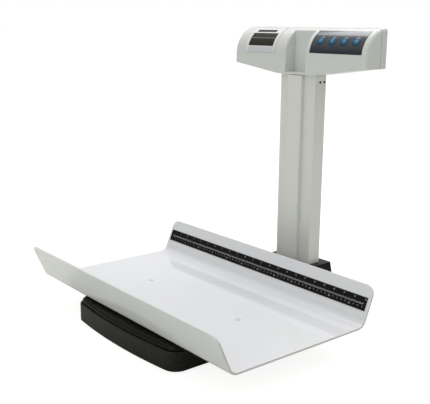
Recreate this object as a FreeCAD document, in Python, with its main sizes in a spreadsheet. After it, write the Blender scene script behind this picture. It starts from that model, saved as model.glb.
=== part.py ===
"""A digital baby weighing scale: a long open tray with a ruler, carried by a load cell on a low
black base, and a column behind it that holds the display and the four keys.

Millimetres. +X runs along the tray to the right, +Y to the back, +Z up. The origin is the middle
of the floor space that the scale takes. Depths are first written from the middle of the tray, and
place() moves every sub-part by the same DEPTH_SHIFT, so that the origin stays in the middle.
"""

import FreeCAD
import Part

import math
import os
import re

import Sketcher

SIZES = (
    # tray: one moulded sheet, the same section all along its length
    ("tray_length", 610.0),
    ("floor_depth", 313.0),
    ("tray_thickness", 4.5),
    ("front_run", 34.0),
    ("front_rise", 75.5),
    ("back_run", 30.0),
    ("back_rise", 72.5),
    ("tray_bend", 20.0),
    ("tray_corner", 18.0),
    ("tray_edge", 1.2),
    ("tray_screw_x", 140.0),
    ("tray_screw_length", 11.0),
    ("tray_screw_head", 9.2),
    ("tray_screw_sink", 1.6),
    ("ruler_length", 596.0),
    ("ruler_width", 25.0),
    ("ruler_thickness", 0.8),
    ("ruler_up_wall", 31.5),
    # platform under the tray, which the load cell carries
    ("pad_thickness", 1.5),
    ("pad_diameter", 30.0),
    ("pad_x", 130.0),
    ("pad_y", 115.0),
    ("washer_diameter", 22.0),
    ("cover_height", 8.0),
    ("cover_inset", 4.0),
    ("cover_wall", 2.5),
    ("cover_rounding", 6.0),
    ("cover_gap", 1.0),
    ("spider_thickness", 3.0),
    ("spider_bar", 50.0),
    ("spider_arm", 140.0),
    # load cell, a bar whose two halves are the two ends of one spring
    ("cell_length", 130.0),
    ("cell_width", 30.0),
    ("cell_height", 22.0),
    ("cell_hole", 14.0),
    ("cell_hole_x", 13.0),
    ("cell_slot", 4.0),
    ("cell_seat", 34.0),
    ("cell_screw_pitch", 18.0),
    ("lower_spacer_height", 4.0),
    ("stop_gap", 0.8),
    ("stop_diameter", 10.0),
    # base
    ("base_width", 330.0),
    ("base_depth", 352.0),
    ("base_corner", 26.0),
    ("bow_sag", 12.0),
    ("housing_height", 35.5),
    ("housing_wall", 3.0),
    ("housing_rounding", 2.5),
    ("foot_height", 3.0),
    ("foot_diameter", 30.0),
    ("foot_side_inset", 24.0),
    ("foot_end_inset", 36.0),
    ("arm_beyond_column", 43.0),
    ("arm_width", 146.0),
    ("arm_corner", 12.0),
    ("arm_foot_x", 50.0),
    ("arm_foot_inset", 22.0),
    ("base_plate_thickness", 3.0),
    ("base_plate_margin", 12.0),
    # boot around the foot of the column
    ("boot_flange", 4.0),
    ("boot_top", 81.5),
    ("boot_draft", 7.0),
    ("boot_side_margin", 17.0),
    ("boot_front_margin", 24.0),
    ("boot_back_margin", 21.0),
    ("boot_wall", 3.0),
    ("boot_corner", 6.0),
    # column
    ("column_width", 100.0),
    ("column_depth", 34.0),
    ("column_wall", 2.5),
    ("column_corner", 3.0),
    ("column_y", 293.0),
    ("strip_width", 40.0),
    ("strip_proud", 9.4),
    ("strip_wall", 2.0),
    ("strip_corner", 1.5),
    ("strip_gap", 1.2),
    ("bracket_height", 100.0),
    ("bracket_plate", 4.0),
    ("bracket_wall", 3.0),
    ("bracket_margin", 15.0),
    ("neck_length", 42.0),
    ("neck_rise", 78.0),
    ("neck_wall", 3.0),
    ("neck_screw_x", 38.0),
    ("neck_screw_rise", 14.0),
    ("neck_screw_pitch", 20.0),
    ("side_screw_pitch", 12.0),
    # head
    ("head_length", 374.0),
    ("head_depth", 59.0),
    ("head_overhang", 27.3),
    ("head_height", 96.0),
    ("head_bottom", 482.0),
    ("head_end_rise", 18.5),
    ("head_flat", 100.0),
    ("head_wall", 2.5),
    ("head_end_round", 7.0),
    ("rear_cover_depth", 16.7),
    ("niche_width", 57.6),
    ("niche_depth", 30.0),
    ("niche_ledge", 4.0),
    ("niche_round", 3.0),
    # panels on the head's curved front: along X, and degrees up round the curve
    ("panel_proud", 0.5),
    ("panel_thickness", 1.8),
    ("panel_seat", 3.0),
    ("window_sink", 0.4),
    ("bezel_left", -157.5),
    ("bezel_right", -59.5),
    ("bezel_low_angle", 3.8),
    ("bezel_high_angle", 70.0),
    ("display_left", -145.0),
    ("display_right", -69.5),
    ("display_low_angle", 18.9),
    ("display_high_angle", 48.3),
    ("indicator_left", -139.0),
    ("indicator_right", -81.0),
    ("indicator_low_angle", 53.0),
    ("indicator_high_angle", 59.5),
    ("keypad_x", 109.0),
    ("keypad_left_margin", 23.4),
    ("keypad_right_margin", 19.9),
    ("keypad_low_angle", 8.0),
    ("keypad_high_angle", 61.0),
    # keys
    ("key_diameter", 19.5),
    ("key_clearance", 0.3),
    ("key_proud", 1.6),
    ("key_angle", 33.3),
    ("key_pitch", 30.4),
    ("key_flange", 1.5),
    ("key_flange_height", 1.0),
    ("key_flange_drop", 3.4),
    ("key_stem", 4.0),
    ("key_travel_gap", 0.8),
    ("switch_size", 6.0),
    ("switch_height", 4.0),
    # boards and what stands on them
    ("board_thickness", 1.6),
    ("key_board_drop", 13.0),
    ("key_board_width", 30.0),
    ("glass_thickness", 3.0),
    ("glass_width", 34.0),
    ("glass_drop", 4.4),
    ("glass_post", 4.0),
    ("glass_post_gap", 1.5),
    ("standoff", 5.0),
    ("main_board_length", 110.0),
    ("main_board_height", 34.0),
    ("main_board_gap", 12.0),
    ("main_board_rise", 30.0),
    ("amplifier_length", 60.0),
    ("amplifier_width", 40.0),
    ("amplifier_x", -75.0),
    ("amplifier_y", 110.0),
    ("amplifier_stand", 5.0),
    # power
    ("battery_diameter", 14.2),
    ("battery_length", 50.0),
    ("battery_clearance", 0.5),
    ("battery_box_wall", 1.6),
    ("battery_x", 112.0),
    ("battery_rise", 48.0),
    ("door_margin", 3.0),
    ("door_clearance", 0.3),
    ("bay_flange", 3.0),
    ("bay_flange_thickness", 2.0),
    ("jack_x", -120.0),
    ("jack_rise", 39.0),
    ("jack_width", 11.0),
    ("jack_bore", 6.3),
    ("jack_bore_depth", 9.0),
    # lead from the base to the head
    ("lead_diameter", 4.0),
    ("lead_x", 20.0),
    ("lead_bow", 6.0),
    ("lead_notch_width", 16.0),
    ("lead_notch_height", 52.0),
    # fasteners
    ("small_screw", 3.0),
    ("small_head", 5.0),
    ("medium_screw", 4.0),
    ("medium_head", 8.0),
    ("large_screw", 6.0),
    ("large_head", 10.0),
    ("head_flatness", 0.3),
    ("large_head_height", 5.0),
    ("hole_clearance", 0.2),
    ("fit", 0.3),
)
NAMES = {alias for alias, _ in SIZES}
KEYS = ("power_button", "zero_button", "hold_button", "unit_button")

# Levels, depths and sizes that follow from the driving ones.
ARM_REACH = "(column_y + arm_beyond_column)"
HEAD_FRONT = "(column_y - head_overhang)"
MAIN_BOARD_Z = "(head_bottom + main_board_rise)"
BATTERY_Z = "(head_bottom + battery_rise)"
JACK_Z = "(head_bottom + jack_rise)"
HOUSING_TOP = "(foot_height + housing_height)"
COVER_TOP = f"({HOUSING_TOP} + cover_gap + cover_height)"
SPIDER_TOP = f"({COVER_TOP} - cover_wall)"
SPIDER_BOTTOM = f"({SPIDER_TOP} - spider_thickness)"
TRAY_BOTTOM = f"({COVER_TOP} + pad_thickness)"
TRAY_HEAD = "((tray_screw_head - medium_screw)/2)"
PLATE_BOTTOM = "(foot_height + housing_wall)"
PLATE_TOP = f"({PLATE_BOTTOM} + base_plate_thickness)"
CELL_BOTTOM = f"({PLATE_TOP} + lower_spacer_height)"
CELL_TOP = f"({CELL_BOTTOM} + cell_height)"
FRONT_SLOPE = "(hypot(front_run; front_rise))"
BACK_SLOPE = "(hypot(back_run; back_rise))"
DEPTH_SHIFT = f"(({ARM_REACH} - floor_depth/2 - front_run)/2)"
COLUMN_FRONT = "(column_y - column_depth/2)"
COLUMN_BACK = "(column_y + column_depth/2)"
COLUMN_FOOT = f"({PLATE_TOP} + bracket_plate)"
COLUMN_TOP = "(head_bottom - fit)"
BOOT_THREAD = "(3*medium_screw)"
NECK_SPAN = "(column_width - 2*column_wall - 2*fit)"
NECK_FRONT = f"({HEAD_FRONT} + niche_depth + head_wall + fit)"
HEAD_TOP = "(head_bottom + head_height)"
HEAD_BACK = f"({HEAD_FRONT} + head_depth)"
HEAD_PARTING = f"({HEAD_BACK} - rear_cover_depth)"
CURVE_Y = HEAD_BACK
CURVE_Z = f"({HEAD_TOP} - head_depth)"
BOX_SPAN = "(battery_length + 2*battery_clearance + 2*battery_box_wall)"
BOX_DEPTH = "(battery_diameter + battery_clearance + battery_box_wall)"
BOX_HEIGHT = "(2*battery_diameter + 3*battery_clearance + 2*battery_box_wall)"

doc = FreeCAD.newDocument("BabyScale")
sheet = doc.addObject("Spreadsheet::Sheet", "Sizes")
parts = {}


# ---------------------------------------------------------------- sheet, places and bindings

def fill_sheet():
    for row, (alias, size) in enumerate(SIZES, 1):
        sheet.set(f"A{row}", alias)
        sheet.set(f"B{row}", str(size))
        sheet.setAlias(f"B{row}", alias)
    doc.recompute()


def on_sheet(text):
    """The same expression, with each size's name pointed at its cell."""
    return re.sub(r"[A-Za-z_]\w*", lambda m: f"Sizes.{m[0]}" if m[0] in NAMES else m[0], text)


def value(text):
    return float(sheet.evalExpression(on_sheet(text)))


def bind(thing, **sizes):
    for name, text in sizes.items():
        thing.setExpression(name, on_sheet(text))


def place(thing, x="0", y="0", z="0"):
    """Puts a sub-part or a piece of one at x, y, z, moved from the tray's middle to the origin."""
    for axis, text in (("x", x), ("y", f"({y}) - {DEPTH_SHIFT}"), ("z", z)):
        thing.setExpression(f"Placement.Base.{axis}", on_sheet(text))
    return thing


def sub_part(name, thing):
    thing.Label = name
    parts[name] = thing
    return thing


# ---------------------------------------------------------------- primitives and booleans

def box(name, x, y, z):
    """A box between three pairs of levels."""
    thing = doc.addObject("Part::Box", name)
    spans = [f"({high}) - ({low})" for low, high in (x, y, z)]
    bind(thing, Length=spans[0], Width=spans[1], Height=spans[2])
    return place(thing, x[0], y[0], z[0])


def cylinder(name, x, y, z, diameter, length, axis="z"):
    """A cylinder that starts at x, y, z and runs along an axis."""
    thing = doc.addObject("Part::Cylinder", name)
    turns = {"z": FreeCAD.Rotation(), "x": FreeCAD.Rotation(FreeCAD.Vector(0, 1, 0), 90)}
    turns["y"] = FreeCAD.Rotation(FreeCAD.Vector(1, 0, 0), -90)
    thing.Placement = FreeCAD.Placement(FreeCAD.Vector(), turns[axis])
    bind(thing, Radius=f"({diameter})/2", Height=length)
    return place(thing, x, y, z)


def cone(name, x, y, z, lower, upper, height):
    thing = doc.addObject("Part::Cone", name)
    bind(thing, Radius1=f"({lower})/2", Radius2=f"({upper})/2", Height=height)
    return place(thing, x, y, z)


def fuse(name, *shapes):
    thing = doc.addObject("Part::MultiFuse", name)
    thing.Shapes = list(shapes)
    return thing


def common(name, *shapes):
    thing = doc.addObject("Part::MultiCommon", name)
    thing.Shapes = list(shapes)
    return thing


def group(name, *shapes):
    """Like pieces that stay separate solids."""
    thing = doc.addObject("Part::Compound", name)
    thing.Links = list(shapes)
    return thing


def cut(name, base, *tools):
    thing = doc.addObject("Part::Cut", name)
    thing.Base = base
    thing.Tool = tools[0] if len(tools) == 1 else fuse(f"{name}_tools", *tools)
    return thing


# ---------------------------------------------------------------- bodies made from sketches

def new_body(name):
    return place(doc.addObject("PartDesign::Body", name))


def sketch(body, name, role, offset="0"):
    """A sketch on one of the body's own origin planes, moved along that plane's normal."""
    thing = body.newObject("Sketcher::SketchObject", name)
    support = next(plane for plane in body.Origin.OriginFeatures if plane.Role == role)
    thing.AttachmentSupport = [(support, "")]
    thing.MapMode = "FlatFace"
    thing.setExpression("AttachmentOffset.Base.z", on_sheet(offset))
    return thing


def fix(drawing, kind, references, text):
    """A dimension of the sketch, bound to the sheet."""
    index = drawing.addConstraint(Sketcher.Constraint(kind, *references, value(text)))
    drawing.setExpression(f"Constraints[{index}]", on_sheet(text))


def outline(drawing, corners, arcs=None):
    """A closed outline, counter-clockwise. arcs gives the radius of each side that bulges out."""
    arcs = arcs or {}
    points = [FreeCAD.Vector(value(x), value(y), 0) for x, y in corners]
    first = drawing.GeometryCount
    count = len(points)
    for side, start in enumerate(points):
        end = points[(side + 1) % count]
        if side in arcs:
            drawing.addGeometry(outward_arc(start, end, value(arcs[side])), False)
        else:
            drawing.addGeometry(Part.LineSegment(start, end), False)
    for side in range(count):
        following = first + (side + 1) % count
        drawing.addConstraint(Sketcher.Constraint("Coincident", first + side, 2, following, 1))
    for side, (x, y) in enumerate(corners):
        fix(drawing, "DistanceX", (-1, 1, first + side, 1), x)
        fix(drawing, "DistanceY", (-1, 1, first + side, 1), y)
    for side, radius in arcs.items():
        fix(drawing, "Radius", (first + side,), radius)
    return drawing


def outward_arc(start, end, radius):
    chord = end - start
    middle = (start + end) * 0.5
    outward = FreeCAD.Vector(chord.y, -chord.x, 0).normalize()
    rise = radius - math.sqrt(radius ** 2 - (chord.Length / 2) ** 2)
    return Part.Arc(start, middle + outward * rise, end)


def rectangle(drawing, x, y):
    return outline(drawing, [(x[0], y[0]), (x[1], y[0]), (x[1], y[1]), (x[0], y[1])])


def extrude(body, kind, name, profile, length, symmetric=False, reverse=False):
    """A Pad or a Pocket of the profile."""
    thing = body.newObject(f"PartDesign::{kind}", name)
    thing.Profile = profile
    if symmetric:
        thing.SideType = "Symmetric"
    thing.Reversed = reverse
    bind(thing, Length=length)
    doc.recompute()
    return thing


def dress(body, kind, name, base, wanted, size):
    """A Fillet or a Chamfer of the base's edges that pass the test."""
    thing = body.newObject(f"PartDesign::{kind}", name)
    edges = [f"Edge{n}" for n, edge in enumerate(base.Shape.Edges, 1) if wanted(edge)]
    thing.Base = (base, edges)
    bind(thing, **{"Radius" if kind == "Fillet" else "Size": size})
    doc.recompute()
    return thing


def runs_along(edge, axis):
    """Whether an edge is straight and parallel to an axis."""
    if edge.Curve.TypeId != "Part::GeomLine":
        return False
    return abs(abs(edge.tangentAt(edge.FirstParameter).dot(axis)) - 1) < 1e-6


X_AXIS = FreeCAD.Vector(1, 0, 0)
Y_AXIS = FreeCAD.Vector(0, 1, 0)
Z_AXIS = FreeCAD.Vector(0, 0, 1)


def upright(edge):
    return runs_along(edge, Z_AXIS)


def at_height(edge, height):
    """Whether an edge lies level at a height, measured in its own body."""
    box_ = edge.BoundBox
    return abs(box_.ZMin - height) < 1e-4 and abs(box_.ZMax - height) < 1e-4


# ---------------------------------------------------------------- fasteners

def screw(name, spot, axis, sizes, into):
    """A screw with a round head. spot is where head and shank meet. The shank runs along +axis
    when into is 1, and along -axis when it is -1."""
    head, head_height, shank, length = sizes
    heights = (f"-({head_height})", "0") if into == 1 else ("0", f"-({length})")
    pieces = []
    for piece, start, size, run in (("head", heights[0], head, head_height),
                                    ("shank", heights[1], shank, length)):
        spot_now = dict(spot)
        spot_now[axis] = f"({spot[axis]}) + ({start})"
        pieces.append(cylinder(f"{name}_{piece}", **spot_now, diameter=size, length=run, axis=axis))
    return fuse(name, *pieces)


def screws(name, spots, axis, sizes, into):
    made = [screw(f"{name}_{n}", spot, axis, sizes, into) for n, spot in enumerate(spots, 1)]
    return sub_part(name, group(f"{name}_set", *made))


def drill(name, base, spots, axis, diameter, start, length):
    """Holes of one diameter through a piece, from the level start along an axis."""
    tools = []
    for n, spot in enumerate(spots, 1):
        spot_now = dict(spot)
        spot_now[axis] = start
        hole = cylinder(f"{name}_hole_{n}", **spot_now, diameter=f"{diameter} + 2*hole_clearance",
                        length=length, axis=axis)
        tools.append(hole)
    return cut(name, base, *tools)


def at_level(spots, z):
    return [dict(spot, z=z) for spot in spots]


def mirrored(x, y, z="0"):
    """The two spots that mirror each other across the middle of the scale."""
    return [{"x": f"-({x})", "y": y, "z": z}, {"x": x, "y": y, "z": z}]


# ---------------------------------------------------------------- tray and ruler

def tray_section(inset):
    """The tray's outer line, or a line inset by a thickness: front lip, two bends and back lip."""
    front_top = (f"-floor_depth/2 - front_run + ({inset})*front_rise/{FRONT_SLOPE}",
                 f"front_rise + ({inset})*front_run/{FRONT_SLOPE}")
    front_bend = (f"-floor_depth/2 + ({inset})*({FRONT_SLOPE} - front_run)/front_rise", inset)
    back_bend = (f"floor_depth/2 - ({inset})*({BACK_SLOPE} - back_run)/back_rise", inset)
    back_top = (f"floor_depth/2 + back_run - ({inset})*back_rise/{BACK_SLOPE}",
                f"back_rise + ({inset})*back_run/{BACK_SLOPE}")
    return [front_top, front_bend, back_bend, back_top]


def lifted(points, level):
    return [(y, f"{z} + {level}") for y, z in points]


def make_tray():
    body = new_body("tray_body")
    section = sketch(body, "tray_profile", "YZ_Plane")
    outer = lifted(tray_section("0"), TRAY_BOTTOM)
    inner = lifted(tray_section("tray_thickness"), TRAY_BOTTOM)
    outline(section, outer + inner[::-1])
    sheet_ = extrude(body, "Pad", "tray_sheet", section, "tray_length", symmetric=True)
    half = value("tray_length/2")
    floor = value(TRAY_BOTTOM)
    top = floor + value("tray_thickness")

    def at_bend(edge, level):
        return runs_along(edge, X_AXIS) and at_height(edge, level)

    def at_lip(edge):
        ends = abs(abs(edge.CenterOfMass.x) - half) < 1e-4
        return ends and edge.Length < value("2*tray_thickness") and edge.CenterOfMass.z > top + 1

    def rim(edge):
        return edge.Length > value("tray_thickness*3")

    under = dress(body, "Fillet", "tray_outer_bends", sheet_, lambda e: at_bend(e, floor), "tray_bend")
    inside = dress(body, "Fillet", "tray_inner_bends", under, lambda e: at_bend(e, top),
                   "tray_bend - tray_thickness")
    corners = dress(body, "Fillet", "tray_corners", inside, at_lip, "tray_corner")
    dress(body, "Fillet", "tray_edges", corners,
          lambda e: rim(e) and not across_bend(e, half), "tray_edge")
    spots = mirrored("tray_screw_x", "0")
    drilled = drill("tray_drilled", body, spots, "z", "medium_screw", f"{TRAY_BOTTOM} - 1",
                    "tray_thickness + 2")
    seat_depth = f"({TRAY_HEAD} + tray_screw_sink + hole_clearance)"
    seats = [cone(f"tray_seat_{n}", spot["x"], "0",
                  f"{TRAY_BOTTOM} + tray_thickness - {seat_depth}", "medium_screw + 2*hole_clearance",
                  "tray_screw_head + 2*tray_screw_sink + 4*hole_clearance", seat_depth)
             for n, spot in enumerate(spots, 1)]
    sub_part("tray", cut("tray_shape", drilled, *seats))


def across_bend(edge, half):
    """Whether an edge is one of the lines where a bend meets a wall, inside the sheet's length."""
    box_ = edge.BoundBox
    return box_.XLength > half and not on_lip(edge)


def on_lip(edge):
    """Whether a long edge is on the upper rim of a wall."""
    rise = edge.CenterOfMass.z - value(TRAY_BOTTOM)
    return rise > value("back_rise") - 1


def make_ruler():
    """A thin strip bonded to the inner face of the back wall, part of the way up."""
    body = new_body("ruler_body")
    section = sketch(body, "ruler_profile", "YZ_Plane")
    bend = tray_section("tray_thickness")[2]

    def on_wall(along, off):
        return (f"{bend[0]} + (({along})*back_run - ({off})*back_rise)/{BACK_SLOPE}",
                f"{TRAY_BOTTOM} + tray_thickness + (({along})*back_rise + ({off})*back_run)/{BACK_SLOPE}")

    low = "ruler_up_wall - tray_thickness"
    high = f"{low} + ruler_width"
    corners = [on_wall(low, "0"), on_wall(high, "0"), on_wall(high, "ruler_thickness"),
               on_wall(low, "ruler_thickness")]
    outline(section, corners)
    extrude(body, "Pad", "ruler_strip_pad", section, "ruler_length", symmetric=True)
    sub_part("ruler_strip", body)


def make_tray_fixings():
    corners = [cylinder(f"pad_{n}", spot["x"], spot["y"], COVER_TOP, "pad_diameter", "pad_thickness")
               for n, spot in enumerate(mirrored("pad_x", "-pad_y") + mirrored("pad_x", "pad_y"), 1)]
    spots = mirrored("tray_screw_x", "0")
    washers = [drill(f"washer_{n}", cylinder(f"washer_disc_{n}", spot["x"], "0", COVER_TOP,
                                             "washer_diameter", "pad_thickness"),
                     [spot], "z", "medium_screw", f"{COVER_TOP} - 1", "pad_thickness + 2")
               for n, spot in enumerate(spots, 1)]
    sub_part("tray_pads", group("tray_pads_set", *corners, *washers))
    made = []
    top = f"({TRAY_BOTTOM} + tray_thickness - tray_screw_sink)"
    length = "(tray_screw_length - tray_screw_sink)"
    for n, spot in enumerate(spots, 1):
        head = cone(f"tray_screw_head_{n}", spot["x"], "0", f"{top} - {TRAY_HEAD}", "medium_screw",
                    "tray_screw_head", TRAY_HEAD)
        shank = cylinder(f"tray_screw_shank_{n}", spot["x"], "0", f"{top} - {length}",
                         "medium_screw", f"{length} - {TRAY_HEAD}")
        made.append(fuse(f"tray_screw_{n}", head, shank))
    sub_part("tray_screws", group("tray_screws_set", *made))


# ---------------------------------------------------------------- base shells

def base_block(name, inset, bottom, height):
    """The base's bow-fronted plan, inset by a wall, as a block."""
    body = new_body(name)
    plan = sketch(body, f"{name}_plan", "XY_Plane", bottom)
    side = f"(base_width/2 - ({inset}))"
    front = f"(bow_sag - base_depth/2 + ({inset}))"
    rear = f"(base_depth/2 - ({inset}))"
    corners = [(f"-{side}", front), (side, front), (side, rear), (f"-{side}", rear)]
    outline(plan, corners, {0: f"({side}^2 + bow_sag^2)/(2*bow_sag)"})
    block = extrude(body, "Pad", f"{name}_pad", plan, height)
    dress(body, "Fillet", f"{name}_corners", block, upright, f"base_corner - ({inset})")
    return body


def arm_block(name, inset, bottom, height, front):
    """The arm behind the base that the column stands on, inset by a wall, as a block."""
    body = new_body(name)
    plan = sketch(body, f"{name}_plan", "XY_Plane", bottom)
    rectangle(plan, (f"-arm_width/2 + ({inset})", f"arm_width/2 - ({inset})"),
              (front, f"{ARM_REACH} - ({inset})"))
    block = extrude(body, "Pad", f"{name}_pad", plan, height)
    dress(body, "Fillet", f"{name}_corners", block,
          lambda e: upright(e) and e.CenterOfMass.y > value("base_depth/2"), f"arm_corner - ({inset})")
    return body


def base_screw_spots():
    side = "base_width/2 - 3*base_plate_margin"
    return mirrored(side, "-base_depth/4") + mirrored(side, "base_depth/4")


def boot_screw_spots():
    return mirrored("arm_foot_x", "base_depth/2 + 2*arm_corner")


def make_housing():
    main = base_block("housing_block", "0", "foot_height", "housing_height")
    rim = value(HOUSING_TOP)
    dress(main, "Fillet", "housing_rim", main.Tip, lambda e: at_height(e, rim), "housing_rounding")
    outer = fuse("housing_outer", main,
                 arm_block("housing_arm", "0", "foot_height", "housing_height", "0"))
    inner = fuse("housing_inner",
                 base_block("housing_cavity", "housing_wall", PLATE_BOTTOM, "housing_height"),
                 arm_block("housing_arm_cavity", "housing_wall", PLATE_BOTTOM, "housing_height", "0"))
    shell = cut("housing_shell", outer, inner)
    spots = base_screw_spots() + boot_screw_spots()
    heads = drill("housing_counterbored", shell, spots, "z", "medium_head", "foot_height - 1",
                  "housing_wall")
    sub_part("base_housing", drill("housing_shape", heads, spots, "z", "medium_screw", "foot_height",
                                   "housing_wall + 1"))


def make_base_plate():
    """The steel plate inside the housing: it ties the load cell and the column together."""
    side = "(base_width/2 - housing_wall - base_plate_margin)"
    rear = "(base_depth/2 - housing_wall - base_plate_margin)"
    front = "(bow_sag - base_depth/2 + housing_wall + base_plate_margin)"
    main = box("plate_main", (f"-{side}", side), (front, rear), (PLATE_BOTTOM, PLATE_TOP))
    half = "(arm_width/2 - housing_wall - base_plate_margin/2)"
    tail = box("plate_arm", (f"-{half}", half), ("0", f"{ARM_REACH} - housing_wall - base_plate_margin/2"),
               (PLATE_BOTTOM, PLATE_TOP))
    plate = fuse("plate_blank", main, tail)
    through = (f"{PLATE_BOTTOM} - 1", "base_plate_thickness + 2")
    for n, (spots, size) in enumerate(((base_screw_spots() + boot_screw_spots(), "medium_screw"),
                                       (cell_spots(-1), "large_screw"),
                                       (cell_spots(1), "large_head + 2*hole_clearance"),
                                       (bracket_spots(), "large_screw")), 1):
        plate = drill(f"plate_drilled_{n}", plate, spots, "z", size, *through)
    sub_part("base_plate", plate)
    sizes = ("medium_head", "housing_wall - 1", "medium_screw", "1 + base_plate_thickness")
    screws("base_screws", at_level(base_screw_spots(), "foot_height + housing_wall - 1"), "z", sizes, 1)
    sizes = sizes[:3] + (f"1 + base_plate_thickness + {BOOT_THREAD}",)
    screws("boot_screws", at_level(boot_screw_spots(), "foot_height + housing_wall - 1"), "z", sizes, 1)


def make_feet():
    side, end = "(base_width/2 - foot_side_inset)", "(base_depth/2 - foot_end_inset)"
    spots = {"foot_front_left": (f"-{side}", f"-{end}"), "foot_front_right": (side, f"-{end}"),
             "foot_back_left": (f"-{side}", end), "foot_back_right": (side, end),
             "foot_arm_left": ("-arm_foot_x", f"{ARM_REACH} - arm_foot_inset"),
             "foot_arm_right": ("arm_foot_x", f"{ARM_REACH} - arm_foot_inset")}
    for name, (x, y) in spots.items():
        foot = cone(f"{name}_pad", x, y, "0", "foot_diameter - foot_height", "foot_diameter", "foot_height")
        sub_part(name, foot)


# ---------------------------------------------------------------- load cell and platform

def cell_spots(side):
    """The two screws at one end of the load cell."""
    middle = "(cell_length/2 - cell_seat/2)"
    return [{"x": f"{side}*({middle} + {step}*cell_screw_pitch/2)", "y": "0", "z": "0"}
            for step in (-1, 1)]


def cell_half(name, side):
    """Half of the bar. The holes leave thin webs, where the bar bends."""
    span = ("-cell_length/2", "0") if side < 0 else ("0", "cell_length/2")
    bar = box(f"{name}_bar", span, ("-cell_width/2", "cell_width/2"), (CELL_BOTTOM, CELL_TOP))
    middle = f"({CELL_BOTTOM} + cell_height/2)"
    hole = cylinder(f"{name}_eye", f"{side}*cell_hole_x", "-cell_width", middle, "cell_hole",
                    "2*cell_width", axis="y")
    slot = box(f"{name}_slot", ("-cell_hole_x", "cell_hole_x"), ("-cell_width", "cell_width"),
               (f"{middle} - cell_slot/2", f"{middle} + cell_slot/2"))
    eased = cut(f"{name}_eased", bar, hole, slot)
    return drill(f"{name}_shape", eased, cell_spots(side), "z", "large_screw", f"{CELL_BOTTOM} - 1",
                 "cell_height + 2")


def cell_spacer(name, side, bottom, top):
    ends = ("-cell_length/2", "cell_seat - cell_length/2")
    span = ends if side < 0 else tuple(f"-({end})" for end in ends[::-1])
    block = box(f"{name}_block", span, ("-cell_width/2", "cell_width/2"), (bottom, top))
    return drill(f"{name}_shape", block, cell_spots(side), "z", "large_screw", f"{bottom} - 1",
                 f"({top}) - ({bottom}) + 2")


def make_load_cell():
    sub_part("load_cell_fixed_half", cell_half("fixed_half", -1))
    sub_part("load_cell_free_half", cell_half("free_half", 1))
    sub_part("lower_spacer", cell_spacer("lower_seat", -1, PLATE_TOP, CELL_BOTTOM))
    sub_part("upper_spacer", cell_spacer("upper_seat", 1, CELL_TOP, SPIDER_BOTTOM))
    shank = "cell_height + lower_spacer_height + base_plate_thickness"
    sizes = ("large_head", "large_head_height", "large_screw", shank)
    screws("load_cell_screws", at_level(cell_spots(-1), CELL_TOP), "z", sizes, -1)
    sizes = sizes[:3] + (f"{SPIDER_TOP} - {CELL_BOTTOM}",)
    screws("platform_screws", at_level(cell_spots(1), CELL_BOTTOM), "z", sizes, 1)


def make_platform():
    level = (SPIDER_BOTTOM, SPIDER_TOP)
    bars = [box(f"spider_bar_{n}", (f"{side}*pad_x - spider_bar/2", f"{side}*pad_x + spider_bar/2"),
                ("-spider_arm", "spider_arm"), level) for n, side in enumerate((-1, 1), 1)]
    web = box("spider_web", ("-pad_x", "pad_x"), ("-spider_bar/2", "spider_bar/2"), level)
    spider = fuse("spider_blank", *bars, web)
    through = (f"{SPIDER_BOTTOM} - 1", "spider_thickness + 2")
    spider = drill("spider_drilled", spider, cell_spots(1), "z", "large_screw", *through)
    spider = drill("spider_shape", spider, mirrored("tray_screw_x", "0"), "z", "medium_screw", *through)
    sub_part("platform_spider", spider)

    skirt = f"{HOUSING_TOP} + cover_gap"
    outer = base_block("cover_block", "cover_inset", skirt, "cover_height")
    top = value(COVER_TOP)
    dress(outer, "Fillet", "cover_rounding_edge", outer.Tip, lambda e: at_height(e, top), "cover_rounding")
    cavity = base_block("cover_cavity", "cover_inset + cover_wall", f"{skirt} - 1",
                        "cover_height - cover_wall + 1")
    shell = cut("cover_shell", outer, cavity)
    shape = drill("cover_shape", shell, mirrored("tray_screw_x", "0"), "z", "medium_screw",
                  f"{SPIDER_TOP} - 1", "cover_wall + 2")
    sub_part("platform_cover", shape)

    spots = mirrored("pad_x", "-pad_y") + mirrored("pad_x", "pad_y")
    stops = [cylinder(f"stop_{n}", spot["x"], spot["y"], PLATE_TOP, "stop_diameter",
                      f"{SPIDER_BOTTOM} - stop_gap - {PLATE_TOP}") for n, spot in enumerate(spots, 1)]
    sub_part("overload_stops", group("overload_stops_set", *stops))


# ---------------------------------------------------------------- column

def bracket_spots():
    return mirrored("column_width/2 - bracket_margin", f"{COLUMN_FRONT} - bracket_margin/2") + \
        mirrored("column_width/2 - bracket_margin", f"{COLUMN_BACK} + bracket_margin/2")


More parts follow.
